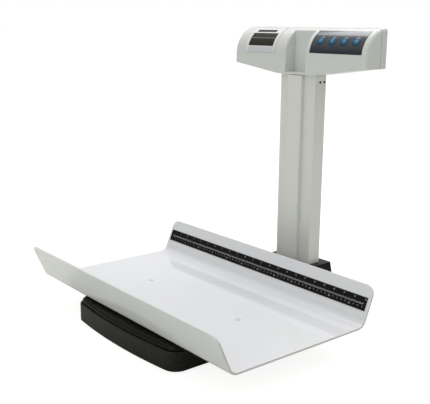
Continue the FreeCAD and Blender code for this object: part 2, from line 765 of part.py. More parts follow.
def make_boot():
    """The black cover over the arm, with a drafted tower that the column stands in."""
    flange = arm_block("boot_flange_block", "0", HOUSING_TOP, "boot_flange",
                       "base_depth/2 - cover_inset + cover_gap")
    tower = new_body("boot_tower")
    plan = sketch(tower, "boot_tower_plan", "XY_Plane", f"{HOUSING_TOP}")
    rise = f"(boot_top - {HOUSING_TOP})"
    spread = f"{rise}*tan(boot_draft)"
    side = f"(column_width/2 + boot_side_margin + {spread})"
    rectangle(plan, (f"-{side}", side),
              (f"{COLUMN_FRONT} - boot_front_margin - {spread}", ARM_REACH))
    block = extrude(tower, "Pad", "boot_tower_pad", plan, rise)
    block.setExpression("TaperAngle", on_sheet("-boot_draft"))
    doc.recompute()
    rounded = dress(tower, "Fillet", "boot_tower_corners", block, lambda e: not level_edge(e), "boot_corner")
    top = value("boot_top")
    dress(tower, "Fillet", "boot_tower_rim", rounded, lambda e: at_height(e, top), "boot_wall/2")
    hollow = box("boot_hollow", ("-column_width/2 - boot_side_margin + boot_wall",
                                 "column_width/2 + boot_side_margin - boot_wall"),
                 (f"{COLUMN_FRONT} - boot_front_margin + boot_wall",
                  f"{COLUMN_BACK} + boot_back_margin - boot_wall"),
                 (f"{HOUSING_TOP} - 1", "boot_top - boot_wall"))
    mouth = box("boot_mouth", ("-column_width/2 - fit", "column_width/2 + fit"),
                (f"{COLUMN_FRONT} - fit", f"{COLUMN_BACK} + fit"), ("boot_top - 2*boot_wall", "boot_top + 1"))
    bosses = [cylinder(f"boot_boss_{n}", spot["x"], spot["y"], f"{PLATE_TOP} + fit",
                       "medium_head + 2", f"{HOUSING_TOP} - {PLATE_TOP} - fit")
              for n, spot in enumerate(boot_screw_spots(), 1)]
    shell = cut("boot_shell", fuse("boot_solid", flange, tower, *bosses), hollow, mouth)
    sub_part("column_boot", drill("boot_shape", shell, boot_screw_spots(), "z",
                                  "medium_screw - 2*hole_clearance", PLATE_TOP, f"{BOOT_THREAD} + 1"))


def level_edge(edge):
    return edge.BoundBox.ZLength < 1e-4


def make_bracket():
    """The steel foot inside the boot: a plate on the base plate and a channel up the column."""
    reach = "bracket_margin"
    plate = box("bracket_foot", ("-column_width/2 - fit", "column_width/2 + fit"),
                (f"{COLUMN_FRONT} - {reach}", f"{COLUMN_BACK} + {reach}"), (PLATE_TOP, COLUMN_FOOT))
    inner = "(column_width/2 - column_wall - fit)"
    front = f"({COLUMN_FRONT} + column_wall + fit)"
    back = f"({COLUMN_BACK} - column_wall - fit)"
    rise = (PLATE_TOP, f"{COLUMN_FOOT} + bracket_height")
    channel = cut("bracket_channel", box("bracket_channel_block", (f"-{inner}", inner), (front, back), rise),
                  box("bracket_channel_space", (f"-{inner} + bracket_wall", f"{inner} - bracket_wall"),
                      (f"{front} - 1", f"{back} - bracket_wall"),
                      (COLUMN_FOOT, f"{COLUMN_FOOT} + bracket_height + 1")))
    blank = fuse("bracket_blank", plate, channel)
    drilled = drill("bracket_drilled", blank, bracket_spots(), "z", "large_screw", f"{PLATE_TOP} - 1",
                    "bracket_plate + 2")
    sub_part("column_bracket", drill("bracket_shape", drilled, lower_screw_spots(), "y", "medium_screw",
                                     f"{back} - bracket_wall - 1", "bracket_wall + 2"))
    sizes = ("large_head", "large_head_height", "large_screw", "bracket_plate + base_plate_thickness")
    screws("bracket_screws", at_level(bracket_spots(), COLUMN_FOOT), "z", sizes, -1)


def lower_screw_spots():
    return mirrored("column_width/4", COLUMN_BACK, f"{COLUMN_FOOT} + bracket_height - bracket_margin")


def side_screw_spots():
    """Two screws in each side of the column near its top, which hold the neck bracket."""
    middle = f"({NECK_FRONT} + neck_wall/2)"
    return [spot for step in (-1, 1)
            for spot in mirrored("column_width/2", f"{middle} + {step}*side_screw_pitch/2 - neck_wall",
                                 f"{COLUMN_TOP} - neck_length/3")]


def make_column():
    body = new_body("column_body")
    plan = sketch(body, "column_plan", "XY_Plane", COLUMN_FOOT)
    rectangle(plan, ("-column_width/2", "column_width/2"), (COLUMN_FRONT, COLUMN_BACK))
    tall = f"{COLUMN_TOP} - {COLUMN_FOOT}"
    solid = extrude(body, "Pad", "column_solid", plan, tall)
    rounded = dress(body, "Fillet", "column_corners", solid, upright, "column_corner")
    bore = sketch(body, "column_bore_plan", "XY_Plane", f"{COLUMN_FOOT} - 1")
    inner = "(column_width/2 - column_wall)"
    rectangle(bore, (f"-{inner}", inner), (f"{COLUMN_FRONT} + column_wall", f"{COLUMN_BACK} - column_wall"))
    hollow = extrude(body, "Pocket", "column_bore", bore, f"{tall} + 2", reverse=True)
    assert hollow.Shape.Volume < 0.5 * rounded.Shape.Volume
    shape = drill("column_drilled", body, lower_screw_spots(), "y", "medium_screw",
                  f"{COLUMN_BACK} - column_wall - 1", "column_wall + 2")
    shape = drill("column_side_drilled", shape, side_screw_spots()[1::2], "x", "small_screw",
                  "-column_width/2 - 1", "column_width + 2")
    notch = box("lead_notch", ("lead_x - lead_notch_width/2", "lead_x + lead_notch_width/2"),
                (f"{COLUMN_FRONT} - 1", f"{COLUMN_FRONT} + column_wall + 1"),
                (f"{COLUMN_FOOT} - 1", f"{COLUMN_FOOT} + lead_notch_height"))
    sub_part("column_profile", cut("column_shape", shape, notch))

    sizes = ("medium_head", "medium_screw/2", "medium_screw", "column_wall + fit + bracket_wall")
    screws("column_lower_screws", lower_screw_spots(), "y", sizes, -1)
    sizes = ("small_head", "small_screw/2", "small_screw", "column_wall + fit + neck_wall")
    made = [screw(f"side_screw_{n}", spot, "x", sizes, 1 if n % 2 else -1)
            for n, spot in enumerate(side_screw_spots(), 1)]
    sub_part("column_side_screws", group("side_screws_set", *made))


def make_front_strip():
    """The narrow cover, a channel that stands proud of the column's front."""
    body = new_body("strip_body")
    start = "boot_top"
    tall = f"head_bottom - strip_gap - {start}"
    plan = sketch(body, "strip_plan", "XY_Plane", start)
    rectangle(plan, ("-strip_width/2", "strip_width/2"), (f"{COLUMN_FRONT} - strip_proud", COLUMN_FRONT))
    solid = extrude(body, "Pad", "strip_solid", plan, tall)
    front = value(f"{COLUMN_FRONT} - strip_proud")
    rounded = dress(body, "Fillet", "strip_corners", solid,
                    lambda e: upright(e) and abs(e.CenterOfMass.y - front) < 1e-4, "strip_corner")
    bore = sketch(body, "strip_bore_plan", "XY_Plane", f"{start} - 1")
    inner = "(strip_width/2 - strip_wall)"
    rectangle(bore, (f"-{inner}", inner),
              (f"{COLUMN_FRONT} - strip_proud + strip_wall", f"{COLUMN_FRONT} + 1"))
    hollow = extrude(body, "Pocket", "strip_bore", bore, f"{tall} - strip_wall + 1", reverse=True)
    assert hollow.Shape.Volume < 0.6 * rounded.Shape.Volume
    sub_part("column_front_strip", body)


def make_neck():
    """The steel neck: side flanges held in the column's top, and a web that goes up the head."""
    half = f"({NECK_SPAN}/2)"
    low = f"{COLUMN_TOP} - neck_length"
    web = box("neck_web", (f"-{half}", half), (NECK_FRONT, f"{NECK_FRONT} + neck_wall"),
              (low, f"head_bottom + neck_rise"))
    depth = (f"{COLUMN_FRONT} + column_wall + fit", f"{COLUMN_BACK} - column_wall - fit")
    spans = ((f"-{half}", f"-{half} + neck_wall"), (f"{half} - neck_wall", half))
    flanges = [box(f"neck_flange_{n}", span, depth, (low, COLUMN_TOP)) for n, span in enumerate(spans, 1)]
    blank = fuse("neck_blank", web, *flanges)
    shape = drill("neck_side_drilled", blank, side_screw_spots()[1::2], "x", "small_screw",
                  f"-{half} - 1", f"{NECK_SPAN} + 2")
    sub_part("neck_bracket", drill("neck_shape", shape, neck_screw_spots(), "y", "medium_screw",
                                   f"{NECK_FRONT} - 1", "neck_wall + 2"))
    sizes = ("medium_head", "medium_screw/2", "medium_screw", "neck_wall + 2*medium_screw")
    screws("neck_screws", neck_screw_spots(), "y", sizes, -1)


def neck_screw_spots():
    """Four screws through the neck's web into bosses behind the head's front."""
    return [spot for step in (0, 1)
            for spot in mirrored("neck_screw_x", f"{NECK_FRONT} + neck_wall",
                                 f"head_bottom + neck_screw_rise + {step}*neck_screw_pitch")]


# ---------------------------------------------------------------- head

def head_block(name, inset, niche_floor):
    """The head: flat back, quarter-round front, ends that rise underneath and a niche in the
    middle of the front. The cavity is the same shape, inset by the wall."""
    body = new_body(name)
    front = f"({HEAD_FRONT} + ({inset}))"
    back = f"({HEAD_BACK} - ({inset}))"
    low = f"(head_bottom + ({inset}))"
    radius = f"(head_depth - ({inset}))"
    crown = f"({CURVE_Z} + sqrt({radius}^2 - ({inset})^2))"
    side = sketch(body, f"{name}_side", "YZ_Plane")
    outline(side, [(front, low), (back, low), (back, crown), (front, CURVE_Z)], {2: radius})
    length = f"(head_length - 2*({inset}))"
    bar = extrude(body, "Pad", f"{name}_bar", side, length, symmetric=True)

    reach = f"({length}/2 + 1)"
    rise = f"{low} + head_end_rise/(head_length/2 - head_flat/2)*({reach} - head_flat/2)"
    for end, which in ((-1, "left"), (1, "right")):
        under = sketch(body, f"{name}_under_{which}", "XZ_Plane")
        points = [(f"{end}*head_flat/2", low), (f"{end}*{reach}", f"{low} - 1"), (f"{end}*{reach}", rise)]
        outline(under, points[::end])
        tapered = extrude(body, "Pocket", f"{name}_taper_{which}", under, f"4*{HEAD_BACK}", symmetric=True)
        assert tapered.Shape.Volume < bar.Shape.Volume
        bar = tapered

    opening = sketch(body, f"{name}_niche_plan", "XZ_Plane", f"-({HEAD_FRONT} + niche_depth + ({inset}))")
    half = f"(niche_width/2 + ({inset}))"
    rectangle(opening, (f"-{half}", half), (niche_floor, f"{HEAD_TOP} + 1"))
    niche = extrude(body, "Pocket", f"{name}_niche", opening, "niche_depth + head_depth", reverse=True)
    assert niche.Shape.Volume < bar.Shape.Volume
    if inset == "0":
        side_x = value(half)
        wall_y = value(f"{HEAD_FRONT} + niche_depth") - 1e-3

        def niche_rim(edge):
            span = edge.BoundBox
            on_side = abs(abs(span.XMin) - side_x) < 1e-4 and span.XLength < 1e-4
            in_front = span.YMax < wall_y + 2e-3 and span.YMin < wall_y
            return on_side and in_front and not runs_along(edge, Y_AXIS)

        niche = dress(body, "Fillet", f"{name}_niche_rim", niche, niche_rim, "niche_round")
    end_x = value(f"{length}/2")
    rear = value(back) - 1e-3

    def end_rim(edge):
        span = edge.BoundBox
        at_end = abs(abs(span.XMin) - end_x) < 1e-4 and abs(abs(span.XMax) - end_x) < 1e-4
        return at_end and edge.CenterOfMass.y < rear and not runs_along(edge, Y_AXIS)

    dress(body, "Fillet", f"{name}_ends", niche, end_rim, f"head_end_round - ({inset})")
    return body


def ring_sector(name, x, radii, angles):
    """A slice of the head's curved front, between two ends, two radii and two angles up from its
    foremost line."""
    wedge = doc.addObject("Part::Cylinder", f"{name}_wedge")
    start = math.radians(value(angles[0]))
    outward = FreeCAD.Vector(0, -math.cos(start), math.sin(start))
    upward = FreeCAD.Vector(0, math.sin(start), math.cos(start))
    turn = FreeCAD.Rotation(outward, upward, -X_AXIS, "XYZ")
    wedge.Placement = FreeCAD.Placement(FreeCAD.Vector(), turn)
    bind(wedge, Radius=radii[1], Height=f"({x[1]}) - ({x[0]})", Angle=f"({angles[1]}) - ({angles[0]})")
    place(wedge, x[1], CURVE_Y, CURVE_Z)
    core = cylinder(f"{name}_core", f"({x[0]}) - 1", CURVE_Y, CURVE_Z, f"2*({radii[0]})",
                    f"({x[1]}) - ({x[0]}) + 2", axis="x")
    return cut(name, wedge, core)


def tilted(kind, name, angle, x, along, out, **sizes):
    """A primitive that faces squarely out of the curve at an angle: x, distance up the tangent and
    distance from the curve's axis are those of its own origin."""
    thing = doc.addObject(f"Part::{kind}", name)
    thing.Placement = FreeCAD.Placement(FreeCAD.Vector(), FreeCAD.Rotation(X_AXIS, 1))
    bind(thing, **sizes)
    thing.setExpression("Placement.Rotation.Angle", on_sheet(f"90 - ({angle})"))
    y = f"{CURVE_Y} + ({along})*sin({angle}) - ({out})*cos({angle})"
    z = f"{CURVE_Z} + ({along})*cos({angle}) + ({out})*sin({angle})"
    return place(thing, x, y, z)


def tilted_box(name, angle, x, along, out):
    return tilted("Box", name, angle, x[0], along[0], out[0], Length=f"({x[1]}) - ({x[0]})",
                  Width=f"({along[1]}) - ({along[0]})", Height=f"({out[1]}) - ({out[0]})")


PANEL_OUT = "(head_depth + panel_proud)"
PANEL_IN = f"({PANEL_OUT} - panel_thickness)"
BEZEL_X = ("bezel_left", "bezel_right")
BEZEL_ANGLES = ("bezel_low_angle", "bezel_high_angle")
KEY_ROW = "((%d - 1)/2*key_pitch)" % len(KEYS)
KEYPAD_X = (f"keypad_x - {KEY_ROW} - keypad_left_margin", f"keypad_x + {KEY_ROW} + keypad_right_margin")
KEYPAD_ANGLES = ("keypad_low_angle", "keypad_high_angle")


def widened(x, angles, margin):
    """The same stretch of the curved front, wider by a margin all round."""
    turn = f"(({margin})/head_depth*180/pi)"
    return ((f"({x[0]}) - ({margin})", f"({x[1]}) + ({margin})"),
            (f"({angles[0]}) - {turn}", f"({angles[1]}) + {turn}"))


def panel_seat(name, x, angles):
    """The cuts in the shell for a panel: a recess that it lies in and a window behind it, which
    leaves a ledge all round."""
    recess_x, recess_angles = widened(x, angles, "fit")
    window_x, window_angles = widened(x, angles, "-panel_seat")
    window_radii = ("head_depth - 3*head_wall", "head_depth")
    return (ring_sector(f"{name}_recess", recess_x, (PANEL_IN, "head_depth + 5"), recess_angles),
            ring_sector(f"{name}_window", window_x, window_radii, window_angles))


def boss_spots():
    """Where screws from the back pull the two shells of the head together."""
    x = "head_length/2 - head_wall - small_head/2 - 1"
    return mirrored(x, HEAD_PARTING, f"{HEAD_TOP} - head_depth/2") + \
        mirrored(x, HEAD_PARTING, f"head_bottom + head_end_rise + 2*small_head")


def make_head_shells():
    solid = head_block("head_outer", "0", "head_bottom + niche_ledge")
    cavity = head_block("head_inner", "head_wall", "head_bottom")
    half = "(head_length/2 + 1)"
    levels = ("head_bottom - 1", f"{HEAD_TOP} + 1")
    before = box("head_before_parting", (f"-{half}", half), (f"{HEAD_FRONT} - 1", HEAD_PARTING), levels)
    behind = box("head_behind_parting", (f"-{half}", half), (HEAD_PARTING, f"{HEAD_BACK} + 1"), levels)
    shell = cut("head_shell", solid, cavity)

    front = common("front_shell_blank", shell, before)
    bosses = [cylinder(f"front_boss_{n}", spot["x"], f"{HEAD_PARTING} - 2*small_head", spot["z"],
                       "small_head + 2*head_wall", "2*small_head", axis="y")
              for n, spot in enumerate(boss_spots(), 1)]
    bosses += [cylinder(f"neck_boss_{n}", spot["x"], f"{HEAD_FRONT} + head_wall/2", spot["z"],
                        "medium_head + 2", f"{NECK_FRONT} - {HEAD_FRONT} - head_wall/2", axis="y")
               for n, spot in enumerate(neck_screw_spots(), 1)]
    bosses = common("front_bosses", fuse("front_boss_set", *bosses), solid)
    front = fuse("front_shell_bossed", front, bosses)
    seats = panel_seat("display", BEZEL_X, BEZEL_ANGLES) + panel_seat("keypad", KEYPAD_X, KEYPAD_ANGLES)
    slot = box("neck_slot", (f"-{NECK_SPAN}/2 - fit", f"{NECK_SPAN}/2 + fit"),
               (f"{NECK_FRONT} - fit", HEAD_PARTING), ("head_bottom - 1", "head_bottom + 2*head_wall"))
    front = cut("front_shell_opened", front, *seats, slot)
    front = drill("front_shell_drilled", front, boss_spots(), "y", "small_screw - 2*hole_clearance",
                  f"{HEAD_PARTING} - 2*small_head", "2*small_head + 1")
    front = drill("front_shell_shape", front, neck_screw_spots(), "y", "medium_screw - 2*hole_clearance",
                  f"{NECK_FRONT} - 2*medium_screw", "2*medium_screw + 1")
    sub_part("head_front_shell", front)

    rear = common("rear_cover_blank", shell, behind)
    posts = [cylinder(f"rear_post_{n}", spot["x"], HEAD_PARTING, spot["z"], "small_head + 2*head_wall",
                      "rear_cover_depth", axis="y") for n, spot in enumerate(boss_spots(), 1)]
    posts = common("rear_posts", fuse("rear_post_set", *posts), solid)
    stands = [cylinder(f"board_stand_{n}", spot["x"], BOARD_BACK, spot["z"], "standoff",
                       f"{HEAD_BACK} - head_wall - {BOARD_BACK} + 0.5", axis="y")
              for n, spot in enumerate(board_spots(), 1)]
    rear = fuse("rear_cover_posted", rear, posts, *stands)
    half_x = f"({DOOR_HALF_X} + door_clearance)"
    half_z = f"({DOOR_HALF_Z} + door_clearance)"
    hatch = box("hatch", (f"battery_x - {half_x}", f"battery_x + {half_x}"),
                (f"{HEAD_PARTING} - 1", f"{HEAD_BACK} + 1"),
                (f"{BATTERY_Z} - {half_z}", f"{BATTERY_Z} + {half_z}"))
    jack_hole = box("jack_hole", ("jack_x - jack_width/2 - fit", "jack_x + jack_width/2 + fit"),
                    (f"{HEAD_PARTING} - 1", f"{HEAD_BACK} + 1"),
                    (f"{JACK_Z} - jack_width/2 - fit", f"{JACK_Z} + jack_width/2 + fit"))
    rear = cut("rear_cover_opened", rear, hatch, jack_hole)
    rear = drill("rear_cover_bored", rear, boss_spots(), "y", "small_head", f"{HEAD_BACK} - small_screw",
                 "small_screw + 1")
    rear = drill("rear_cover_shape", rear, boss_spots(), "y", "small_screw", f"{HEAD_PARTING} - 1",
                 "rear_cover_depth + 2")
    sub_part("head_rear_cover", rear)
    spots = [dict(spot, y=f"{HEAD_BACK} - small_screw") for spot in boss_spots()]
    sizes = ("small_head", "small_screw - head_flatness", "small_screw - 4*hole_clearance",
             f"rear_cover_depth - small_screw + small_head")
    screws("rear_cover_screws", spots, "y", sizes, -1)


def make_display():
    bezel = ring_sector("bezel_sheet", BEZEL_X, (PANEL_IN, PANEL_OUT), BEZEL_ANGLES)
    panes = {"display_window": (("display_left", "display_right"),
                                ("display_low_angle", "display_high_angle")),
             "indicator_window": (("indicator_left", "indicator_right"),
                                  ("indicator_low_angle", "indicator_high_angle"))}
    holes = []
    for name, (x, angles) in panes.items():
        hole_x, hole_angles = widened(x, angles, "hole_clearance")
        through = (f"{PANEL_IN} - 1", f"{PANEL_OUT} + 1")
        holes.append(ring_sector(f"{name}_hole", hole_x, through, hole_angles))
        sub_part(name, ring_sector(f"{name}_pane", x, (PANEL_IN, f"{PANEL_OUT} - window_sink"), angles))
    angle = "((display_low_angle + display_high_angle)/2)"
    glass_out = f"({PANEL_IN} - glass_drop)"
    glass_back = f"({glass_out} - glass_thickness)"
    post_x = ("display_left - glass_post/2 - glass_post_gap", "display_right + glass_post/2 + glass_post_gap")
    posts = [tilted("Cylinder", f"bezel_post_{n}", angle, x, "0", f"{glass_out} + hole_clearance",
                    Radius="glass_post/2", Height="glass_drop + 1") for n, x in enumerate(post_x, 1)]
    sub_part("display_bezel", fuse("bezel_shape", cut("bezel_pierced", bezel, *holes), *posts))
    glass = tilted_box("glass", angle, ("display_left - 1", "display_right + 1"),
                       ("-glass_width/2", "glass_width/2"), (glass_back, glass_out))
    board = tilted_box("glass_board", angle, (f"{post_x[0]} - glass_post", f"{post_x[1]} + glass_post"),
                       ("-glass_width/2 - 1", "glass_width/2 + 1"),
                       (f"{glass_back} - board_thickness", glass_back))
    feet = [tilted("Cylinder", f"glass_foot_{n}", angle, x, "0", glass_back, Radius="glass_post/2",
                   Height="glass_thickness") for n, x in enumerate(post_x, 1)]
    sub_part("display_module", fuse("display_module_shape", glass, board, *feet))


def key_x(n):
    """The middle of a key in the row, counted from the left."""
    return f"(keypad_x - {KEY_ROW} + {n}*key_pitch)"


def key_hole(name, n, diameter, out, length):
    return tilted("Cylinder", name, "key_angle", key_x(n), "0", out, Radius=f"({diameter})/2", Height=length)


FLANGE_TOP = f"({PANEL_OUT} - key_flange_drop)"
KEY_BOARD_TOP = f"({PANEL_OUT} - key_board_drop)"


def make_keys():
    """Round keys that slide through the panel, each over its own switch on the board."""
    sheet_ = ring_sector("keypad_sheet", KEYPAD_X, (PANEL_IN, PANEL_OUT), KEYPAD_ANGLES)
    bores = [key_hole(f"key_bore_{n}", n, "key_diameter + 2*key_clearance", f"{PANEL_IN} - 2*panel_thickness",
                      "5*panel_thickness") for n in range(len(KEYS))]
    between_keys = ("keypad_x - key_pitch", "keypad_x + key_pitch")
    posts = [tilted("Cylinder", f"keypad_post_{n}", "key_angle", x, "0", KEY_BOARD_TOP,
                    Radius="(key_pitch - key_diameter - 2*key_flange)/3",
                    Height=f"{PANEL_IN} - {KEY_BOARD_TOP} + 0.5") for n, x in enumerate(between_keys, 1)]
    sub_part("keypad_panel", fuse("keypad_shape", cut("keypad_pierced", sheet_, *bores), *posts))

    board = tilted_box("key_board_sheet", "key_angle", (f"{KEYPAD_X[0]} + 1", f"{KEYPAD_X[1]} - 1"),
                       ("-key_board_width/2", "key_board_width/2"),
                       (f"{KEY_BOARD_TOP} - board_thickness", KEY_BOARD_TOP))
    half = "switch_size/2"
    switches = [tilted_box(f"switch_{n}", "key_angle", (f"{key_x(n)} - {half}", f"{key_x(n)} + {half}"),
                           (f"-{half}", half), (KEY_BOARD_TOP, f"{KEY_BOARD_TOP} + switch_height"))
                for n in range(len(KEYS))]
    sub_part("keypad_board", fuse("keypad_board_shape", board, *switches))

    crown = f"({PANEL_OUT} + key_proud)"
    for n, name in enumerate(KEYS):
        seat = f"({FLANGE_TOP} - key_flange_height)"
        column = key_hole(f"{name}_column", n, "key_diameter", seat, f"{crown} - {seat} + 1")
        limit = cylinder(f"{name}_limit", f"{key_x(n)} - key_diameter", CURVE_Y, CURVE_Z, f"2*{crown}",
                         "2*key_diameter", axis="x")
        cap = common(f"{name}_cap", column, limit)
        flange = key_hole(f"{name}_flange", n, "key_diameter + 2*key_flange", seat, "key_flange_height")
        switch_top = f"({KEY_BOARD_TOP} + switch_height)"
        stem = key_hole(f"{name}_stem", n, "key_stem", f"{switch_top} + key_travel_gap",
                        f"{FLANGE_TOP} - {switch_top} - key_travel_gap")
        sub_part(name, fuse(f"{name}_shape", cap, flange, stem))


BOARD_BACK = f"({HEAD_BACK} - head_wall - main_board_gap)"
BOARD_LEFT = "(-niche_width/2 - main_board_length - 2*standoff)"


def board_spots():
    ends = (f"{BOARD_LEFT} + standoff", f"{BOARD_LEFT} + main_board_length - standoff")
    return [{"x": x, "y": BOARD_BACK, "z": f"{MAIN_BOARD_Z} + {share}*main_board_height"}
            for x in ends for share in (0.2, 0.8)]


def make_boards():
    sub_part("main_board", box("main_board_sheet", (BOARD_LEFT, f"{BOARD_LEFT} + main_board_length"),
                               (f"{BOARD_BACK} - board_thickness", BOARD_BACK),
                               (MAIN_BOARD_Z, f"{MAIN_BOARD_Z} + main_board_height")))
    x = ("amplifier_x - amplifier_length/2", "amplifier_x + amplifier_length/2")
    y = ("amplifier_y - amplifier_width/2", "amplifier_y + amplifier_width/2")
    low = f"({PLATE_TOP} + amplifier_stand)"
    board = box("amplifier_sheet", x, y, (low, f"{low} + board_thickness"))
    spots = [(f"amplifier_x + {across}*(amplifier_length/2 - standoff)",
              f"amplifier_y + {along}*(amplifier_width/2 - standoff)")
             for across in (-1, 1) for along in (-1, 1)]
    stands = [cylinder(f"amplifier_stand_{n}", x, y, PLATE_TOP, "standoff", "amplifier_stand")
              for n, (x, y) in enumerate(spots, 1)]
    sub_part("amplifier_board", fuse("amplifier_shape", board, *stands))


# ---------------------------------------------------------------- batteries and jack

DOOR_HALF_X = f"({BOX_SPAN} + door_margin)"
DOOR_HALF_Z = f"({BOX_HEIGHT}/2 + door_margin)"
DOOR_FRONT = f"({HEAD_BACK} - head_wall + door_clearance)"
BOX_BACK = f"({HEAD_BACK} - head_wall)"
BOX_FRONT = f"({BOX_BACK} - {BOX_DEPTH})"


def battery_places():
    for side in (-1, 1):
        for row in (-1, 1):
            x = f"battery_x + {side}*({BOX_SPAN}/2) - battery_length/2"
            z = f"{BATTERY_Z} + {row}*(battery_diameter + battery_clearance)/2"
            yield x, z


def make_battery_bay():
    block = box("bay_block", (f"battery_x - {BOX_SPAN}", f"battery_x + {BOX_SPAN}"), (BOX_FRONT, BOX_BACK),
                (f"{BATTERY_Z} - {BOX_HEIGHT}/2", f"{BATTERY_Z} + {BOX_HEIGHT}/2"))
    reach_x = f"({DOOR_HALF_X} + bay_flange)"
    reach_z = f"({DOOR_HALF_Z} + bay_flange)"
    flange = box("bay_flange_sheet", (f"battery_x - {reach_x}", f"battery_x + {reach_x}"),
                 (f"{BOX_BACK} - bay_flange_thickness", BOX_BACK),
                 (f"{BATTERY_Z} - {reach_z}", f"{BATTERY_Z} + {reach_z}"))
    half_x = f"({BOX_SPAN}/2 - battery_box_wall)"
    half_z = f"({BOX_HEIGHT}/2 - battery_box_wall)"
    wells = [box(f"bay_well_{n}", (f"{middle} - {half_x}", f"{middle} + {half_x}"),
                 (f"{BOX_FRONT} + battery_box_wall", f"{HEAD_BACK} + 1"),
                 (f"{BATTERY_Z} - {half_z}", f"{BATTERY_Z} + {half_z}"))
             for n, middle in enumerate((f"battery_x - {BOX_SPAN}/2", f"battery_x + {BOX_SPAN}/2"), 1)]
    sub_part("battery_box", cut("bay_shape", fuse("bay_solid", block, flange), *wells))
    middle = f"{BOX_FRONT} + battery_box_wall + battery_diameter/2 + battery_clearance/4"
    cells = [cylinder(f"battery_{n}", x, middle, z, "battery_diameter", "battery_length", axis="x")
             for n, (x, z) in enumerate(battery_places(), 1)]
    sub_part("batteries", group("batteries_set", *cells))
    sub_part("battery_door", box("door_sheet", (f"battery_x - {DOOR_HALF_X}", f"battery_x + {DOOR_HALF_X}"),
                                 (DOOR_FRONT, HEAD_BACK),
                                 (f"{BATTERY_Z} - {DOOR_HALF_Z}", f"{BATTERY_Z} + {DOOR_HALF_Z}")))


def make_jack():
    block = box("jack_block", ("jack_x - jack_width/2", "jack_x + jack_width/2"), (BOARD_BACK, HEAD_BACK),
                (f"{JACK_Z} - jack_width/2", f"{JACK_Z} + jack_width/2"))
    bore = cylinder("jack_bore_tool", "jack_x", f"{HEAD_BACK} - jack_bore_depth", JACK_Z, "jack_bore",
                    "jack_bore_depth + 1", axis="y")
    sub_part("power_jack", cut("jack_shape", block, bore))


# ---------------------------------------------------------------- lead

def lead_route():
    """The lead's points: from the board in the base along the arm, up the column with a slight
    bow, behind the neck's web, and round to the board in the head."""
    start = "(amplifier_x + amplifier_length/2 - standoff)"
    level = f"({PLATE_TOP} + amplifier_stand + board_thickness + lead_diameter/2 + fit)"
    entry = f"({COLUMN_FRONT} - 2*lead_notch_width)"
    inside = "(column_y - lead_diameter/2)"
    behind = f"(({NECK_FRONT} + neck_wall + {COLUMN_BACK} - column_wall)/2)"
    foot = f"({COLUMN_FOOT} + bracket_height)"
    points = [(start, "amplifier_y", level)]
    for share, lift in ((0.3, 0.1), (0.7, 0.25), (0.95, 0.45)):
        points.append((f"{start} + {share}*(lead_x - {start})",
                       f"amplifier_y + {share ** 2:.3f}*({entry} - amplifier_y)",
                       f"{level} + {lift}*lead_notch_width"))
    points.append(("lead_x", entry, f"{level} + 0.6*lead_notch_width"))
    points.append(("lead_x + lead_bow/2", f"{COLUMN_FRONT} - lead_diameter",
                   f"{COLUMN_FOOT} + lead_notch_height/2"))
    points.append(("lead_x + lead_bow", inside, f"{COLUMN_FOOT} + 1.4*lead_notch_height"))
    steps = 8
    for step in range(steps + 1):
        back = min(step / (steps - 1), 1)
        points.append((f"lead_x + lead_bow*cos({90 * step / steps})",
                       f"{inside} + {back:.4f}*({behind} - {inside})",
                       f"{foot} + {step / steps}*({COLUMN_TOP} - {foot})"))
    board_end = f"({BOARD_LEFT} + main_board_length)"
    points.append(("lead_x - lead_bow", f"{behind} + lead_diameter/2", MAIN_BOARD_Z))
    points.append((f"({board_end} + lead_x)/2 - lead_bow", f"{BOARD_BACK} + lead_diameter",
                   f"{MAIN_BOARD_Z} + main_board_height/3"))
    points.append((f"{board_end} - standoff", f"{BOARD_BACK} + lead_diameter/2 + fit",
                   f"{MAIN_BOARD_Z} + main_board_height/2"))
    return points


def rounded_path(points):
    """Straight runs joined by tangent arcs, each as large as its two runs allow."""
    edges = []
    start = points[0]
    for before, corner, after in zip(points, points[1:], points[2:]):
        into = (corner - before).normalize()
        out = (after - corner).normalize()
        turn = into.getAngle(out)
        if turn < 1e-3:
            continue
        shorter = min((corner - before).Length, (after - corner).Length)
        radius = 0.45 * shorter / math.tan(turn / 2)
        trim = 0.45 * shorter
        bisector = (out - into).normalize()
        centre = corner + bisector * (radius / math.cos(turn / 2))
        first = corner - into * trim
        last = corner + out * trim
        middle = centre - bisector * radius
        edges.append(Part.LineSegment(start, first).toShape())
        edges.append(Part.Arc(first, middle, last).toShape())
        start = last
        print(f"lead bend radius {radius:.0f}")
    edges.append(Part.LineSegment(start, points[-1]).toShape())
    return Part.Wire(edges)


def make_lead():
    shift = value(DEPTH_SHIFT)
    points = [FreeCAD.Vector(value(x), value(y), value(z)) for x, y, z in lead_route()]
    path = rounded_path(points)
    radius = value("lead_diameter/2")
    run = (points[1] - points[0]).normalize()
    section = Part.Wire(Part.Circle(points[0], run, radius).toShape())
    thing = doc.addObject("Part::Feature", "signal_lead_shape")
    thing.Shape = path.makePipeShell([section], True, False)
    thing.Placement = FreeCAD.Placement(FreeCAD.Vector(0, -shift, 0), FreeCAD.Rotation())
    expected = math.pi * radius ** 2 * path.Length
    print(f"lead length {path.Length:.0f}, volume share {thing.Shape.Volume / expected:.4f}")
    sub_part("signal_lead", thing)


# ---------------------------------------------------------------- checks and files

def check():
    for thing in doc.Objects:
        if {"Invalid", "Error"} & set(thing.State):
            raise RuntimeError(f"{thing.Name} is {thing.State}")
    for name, thing in parts.items():
        if thing.Shape.isNull() or not thing.Shape.isValid():
            raise RuntimeError(f"{name} has no valid shape")
        if not thing.Shape.Solids:
            raise RuntimeError(f"{name} has no solid")


def write():
    os.makedirs("parts", exist_ok=True)
    for name, thing in parts.items():
        thing.Shape.exportStep(f"parts/{name}.step")
    print(len(parts), "sub-parts")


